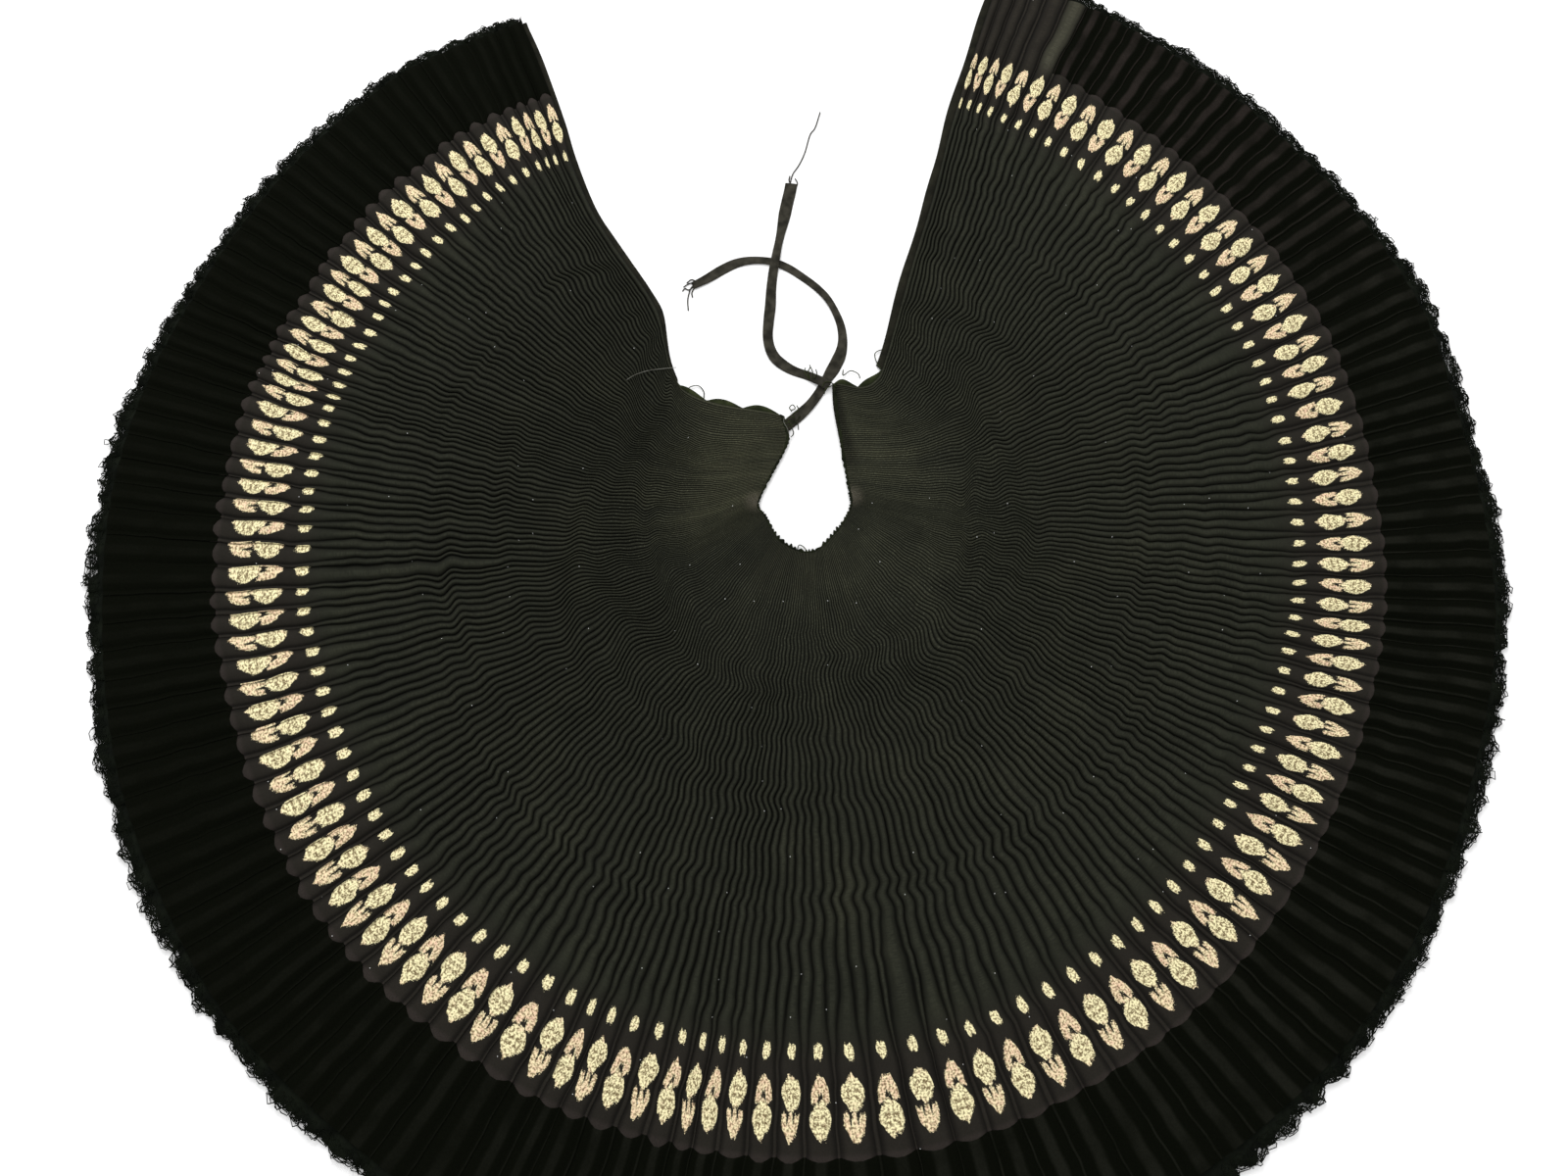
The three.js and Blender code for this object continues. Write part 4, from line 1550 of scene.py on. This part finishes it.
    def net(self) -> list[bpy.types.Object]:
        """Crinkled threads that run along the edge and loop out of it.

        Returns:
            The threads at the edge, and those nearer the velvet.
        """
        draw = np.random.default_rng(self.chain_seed)
        pleat = np.linspace(0.02, PLEATS - 0.02, PLEATS * self.columns + 1)
        pleats, shares = np.meshgrid(pleat, np.linspace(*self.chain_shares, self.chains))
        rough = draw.uniform(-1, 1, (2, *pleats.shape))
        chains = self.surface(np.clip(pleats + 0.05 * rough[0], 0, PLEATS), shares + 0.11 * rough[1])
        edge = [*chains, *self.loop_lines(self.outer)]
        return [threads("lace_net", edge, self.thread),
                threads("lace_loops", self.loop_lines(self.inner), self.thread)]

    def build(self, under: bpy.types.Object) -> None:
        """Args:
            under: the band that it is sewn to; not used.
        """
        material = LACE_FINISH.build()
        (net, loops), close = self.net(), self.close_part()
        dress(net, material, Slot.LACE, "lace_edging")
        dress(loops, material, Slot.LACE)
        dress(close, material, Slot.LACE)
        LOG.info("lace has %.3f square metres", area_of(close))


@dataclass
class Trims:
    """Waist binding, opening hems and yoke edgings."""

    binding_sides: int = 8
    binding_steps: int = 8          # for each pleat
    binding_width: float = 0.0032
    binding_height: float = 0.0054
    binding_breadth: Curve = Curve((0, 6, 16, 108, 118, 126, 131), (1.9, 1.5, 1.0, 1.0, 1.7, 2.6, 2.2))
    teeth: Curve = Curve((0, 30, 48, 56, 80, 90, 131), (0.1, 0.25, 0.5, 1.0, 1.0, 0.5, 0.15))
    teeth_per_pleat: float = 0.55
    tooth_length: float = 0.0028
    binding_gap: float = 0.0003     # between the roll and the floor
    yoke_reach: float = 0.125
    strip_shares: tuple[float, ...] = (0.0, 0.0, 0.12, 0.35, 0.62, 0.86, 0.97, 1.0)
    strip_rises: tuple[float, ...] = (0.1, 0.55, 0.80, 1.0, 0.96, 0.88, 0.60, 0.06)
    hem_ends: Pair = (1.01, BAND_TO)
    hem_rows: int = 120
    hem_widths: Pair = (0.007, 0.010)      # at the left edge and the right
    hem_height: float = 0.0026
    hem_tuck: float = 0.0015
    edging_ends: Pair = (0.05, 1.02)
    edging_rows: int = 90
    scallop_least: float = 0.0012
    scallop_bulge: float = 0.0082
    scallop_counts: tuple[int, int] = (3, 2)
    edging_height: float = 0.0024
    edging_tuck: float = 0.0012

    def binding(self, material: bpy.types.Material) -> bpy.types.Object:
        """Finely toothed roll round the waist hole.

        Args:
            material: its finish.

        Returns:
            The piece.
        """
        sides, steps = self.binding_sides, PLEATS * self.binding_steps
        piece, row, column = add_grid("waist_roll", sides + 1, steps + 1)
        turn = 2 * np.pi * (row % sides) / sides
        pleat = column / steps * PLEATS
        waver = 2.6 * Drift(64, (2.6, 1.0)).at(pleat, pleat * 0)
        tooth = 0.5 + 0.5 * np.cos(2 * np.pi * pleat * self.teeth_per_pleat + waver)
        drift = Drift(61, (1.6, 1.0)).at(pleat, pleat * 0)
        broad = self.binding_breadth.at(pleat)
        width = self.binding_width * (0.75 * broad + 0.50 * tooth + 0.30 * drift)
        toothed = self.teeth.at(pleat) * tooth ** 0.8
        toothed = toothed * (0.7 + 0.5 * Drift(66, (1.3, 1.0)).at(pleat, pleat * 0))
        out = self.binding_width * (broad - 0.5) + 0.0006 - np.cos(turn) * width / 2
        out = (out - self.tooth_length * toothed * (np.cos(turn) > 0.3)) / self.yoke_reach
        middle = self.binding_gap + self.binding_height * 0.5
        z = middle + np.sin(turn) * (self.binding_height * 0.5 - self.binding_gap) * (0.86 + 0.14 * tooth)
        set_points(piece, np.concatenate([PLAN.place(pleat, out), z[:, None]], 1))
        dress(piece, material, Slot.EDGING, "waist_binding")
        return piece

    def strip(self, name: str, side: int, outs: np.ndarray, width: np.ndarray, height: float,
              tuck: float) -> bpy.types.Object:
        """Flat strip along an edge of the opening.

        Args:
            name: name of the piece.
            side: -1 at the left edge and 1 at the right.
            outs: how far out its rows lie.
            width: its width at each row.
            height: its thickness.
            tuck: how far it reaches under the cloth.

        Returns:
            The piece.
        """
        share, rise = np.array(self.strip_shares), np.array(self.strip_rises)
        piece, row, column = add_grid(name, len(outs), len(share))
        column = column if side > 0 else len(share) - 1 - column
        edge = 0.0 if side < 0 else float(PLEATS)
        away = -tuck + (width[row] + tuck) * share[column]
        lumps = 1 + 0.14 * Drift(71, (0.06, 1.0)).at(outs[row], share[column] * 3)
        plan = PLAN.beside(np.full(len(row), edge), outs[row], side * away)
        set_points(piece, np.concatenate([plan, (height * rise[column] * lumps)[:, None]], 1))
        return piece

    def build(self) -> dict[str, list[bpy.types.Object]]:
        """Builds and dresses all the trims.

        Returns:
            The hem and edging of each edge of the opening, by the width they are sewn to.
        """
        edging, hem = EDGING_FINISH.build(), HEM_FINISH.build()
        self.binding(BINDING_FINISH.build())
        pieces = {}
        hem_outs = np.linspace(*self.hem_ends, self.hem_rows)
        yoke_outs = np.linspace(*self.edging_ends, self.edging_rows)
        share = (yoke_outs - yoke_outs[0]) / np.ptp(yoke_outs)
        edges = ((-1, "left", "left"), (1, "right", "front"))
        for (side, word, cloth), width, count in zip(edges, self.hem_widths, self.scallop_counts):
            widths = width * (1 + 0.10 * np.sin(hem_outs * 9))
            strip = self.strip(f"hem_{word}", side, hem_outs, widths, self.hem_height, self.hem_tuck)
            dress(strip, hem, Slot.HEM, f"opening_hem_{word}")
            widths = self.scallop_least + self.scallop_bulge * np.abs(np.sin(np.pi * count * share))
            scallops = self.strip(
                f"scallops_{word}", side, yoke_outs, widths, self.edging_height, self.edging_tuck)
            dress(scallops, edging, Slot.EDGING, f"yoke_edging_{word}")
            pieces[cloth] = [strip, scallops]
        return pieces


@dataclass
class Studio:
    """Pale floor, soft light and the camera."""

    floor_size: float = 14.0
    floor_colour: Colour = (0.93, 0.93, 0.93)
    window: Place = (-0.6, 2.6, 2.4)
    window_size: float = 2.0
    window_watts: float = 70.0
    sensor: float = 36.0
    eye: Place = (-0.0338, -0.5551, 1.4176)
    right: Place = (0.99997, 0.0, 0.00795)
    up: Place = (-0.00256, 0.94687, 0.32162)
    lens: float = 29.25
    sky: float = 1.0

    def camera(self) -> None:
        """Adds the camera."""
        data = bpy.data.cameras.new("camera")
        data.lens, data.sensor_width = self.lens, self.sensor
        camera = bpy.data.objects.new("camera", data)
        right, up = Vector(self.right).normalized(), Vector(self.up).normalized()
        back = right.cross(up).normalized()
        turn = Matrix((right, back.cross(right), back)).transposed().to_4x4()
        camera.matrix_world = Matrix.Translation(self.eye) @ turn
        bpy.context.scene.collection.objects.link(camera)
        bpy.context.scene.camera = camera

    def light(self, name: str, place: Place, size: float, watts: float) -> None:
        """Adds a soft square light that faces the middle.

        Args:
            name: its name.
            place: where it hangs.
            size: length of its sides.
            watts: its power.
        """
        data = bpy.data.lights.new(name, "AREA")
        data.size, data.energy = size, watts
        lamp = bpy.data.objects.new(name, data)
        facing = Vector(place).to_track_quat("Z", "Y").to_matrix().to_4x4()
        lamp.matrix_world = Matrix.Translation(place) @ facing
        bpy.context.scene.collection.objects.link(lamp)

    def build(self) -> None:
        """Adds the floor, the light and the world."""
        bpy.ops.object.select_all(action="DESELECT")
        bpy.ops.mesh.primitive_plane_add(size=self.floor_size, location=(0, 0, 0))
        floor = bpy.context.object
        floor.name = "floor"
        shader = Shader("pale_floor")
        shader.surface_inputs(Base_Color=self.floor_colour, Roughness=0.9)
        floor.data.materials.append(shader.material)
        world = bpy.data.worlds.new("studio")
        world.use_nodes = True
        background = world.node_tree.nodes["Background"]
        background.inputs["Color"].default_value = (1, 1, 1, 1)
        background.inputs["Strength"].default_value = self.sky
        bpy.context.scene.world = world
        self.light("window", self.window, self.window_size, self.window_watts)
        bpy.context.scene.view_settings.view_transform = "Standard"


def main() -> None:
    """Builds the studio and the skirt, piece by piece."""
    logging.basicConfig(level=logging.INFO, format="%(message)s")
    studio = Studio()
    studio.camera()
    Ties().build()
    cloth = Cloth().build(Trims().build())
    velvet = VelvetBand().build(cloth[:4])
    Lace().build(velvet)
    LooseThreads().build()
    studio.build()


if __name__ == "__main__":
    main()
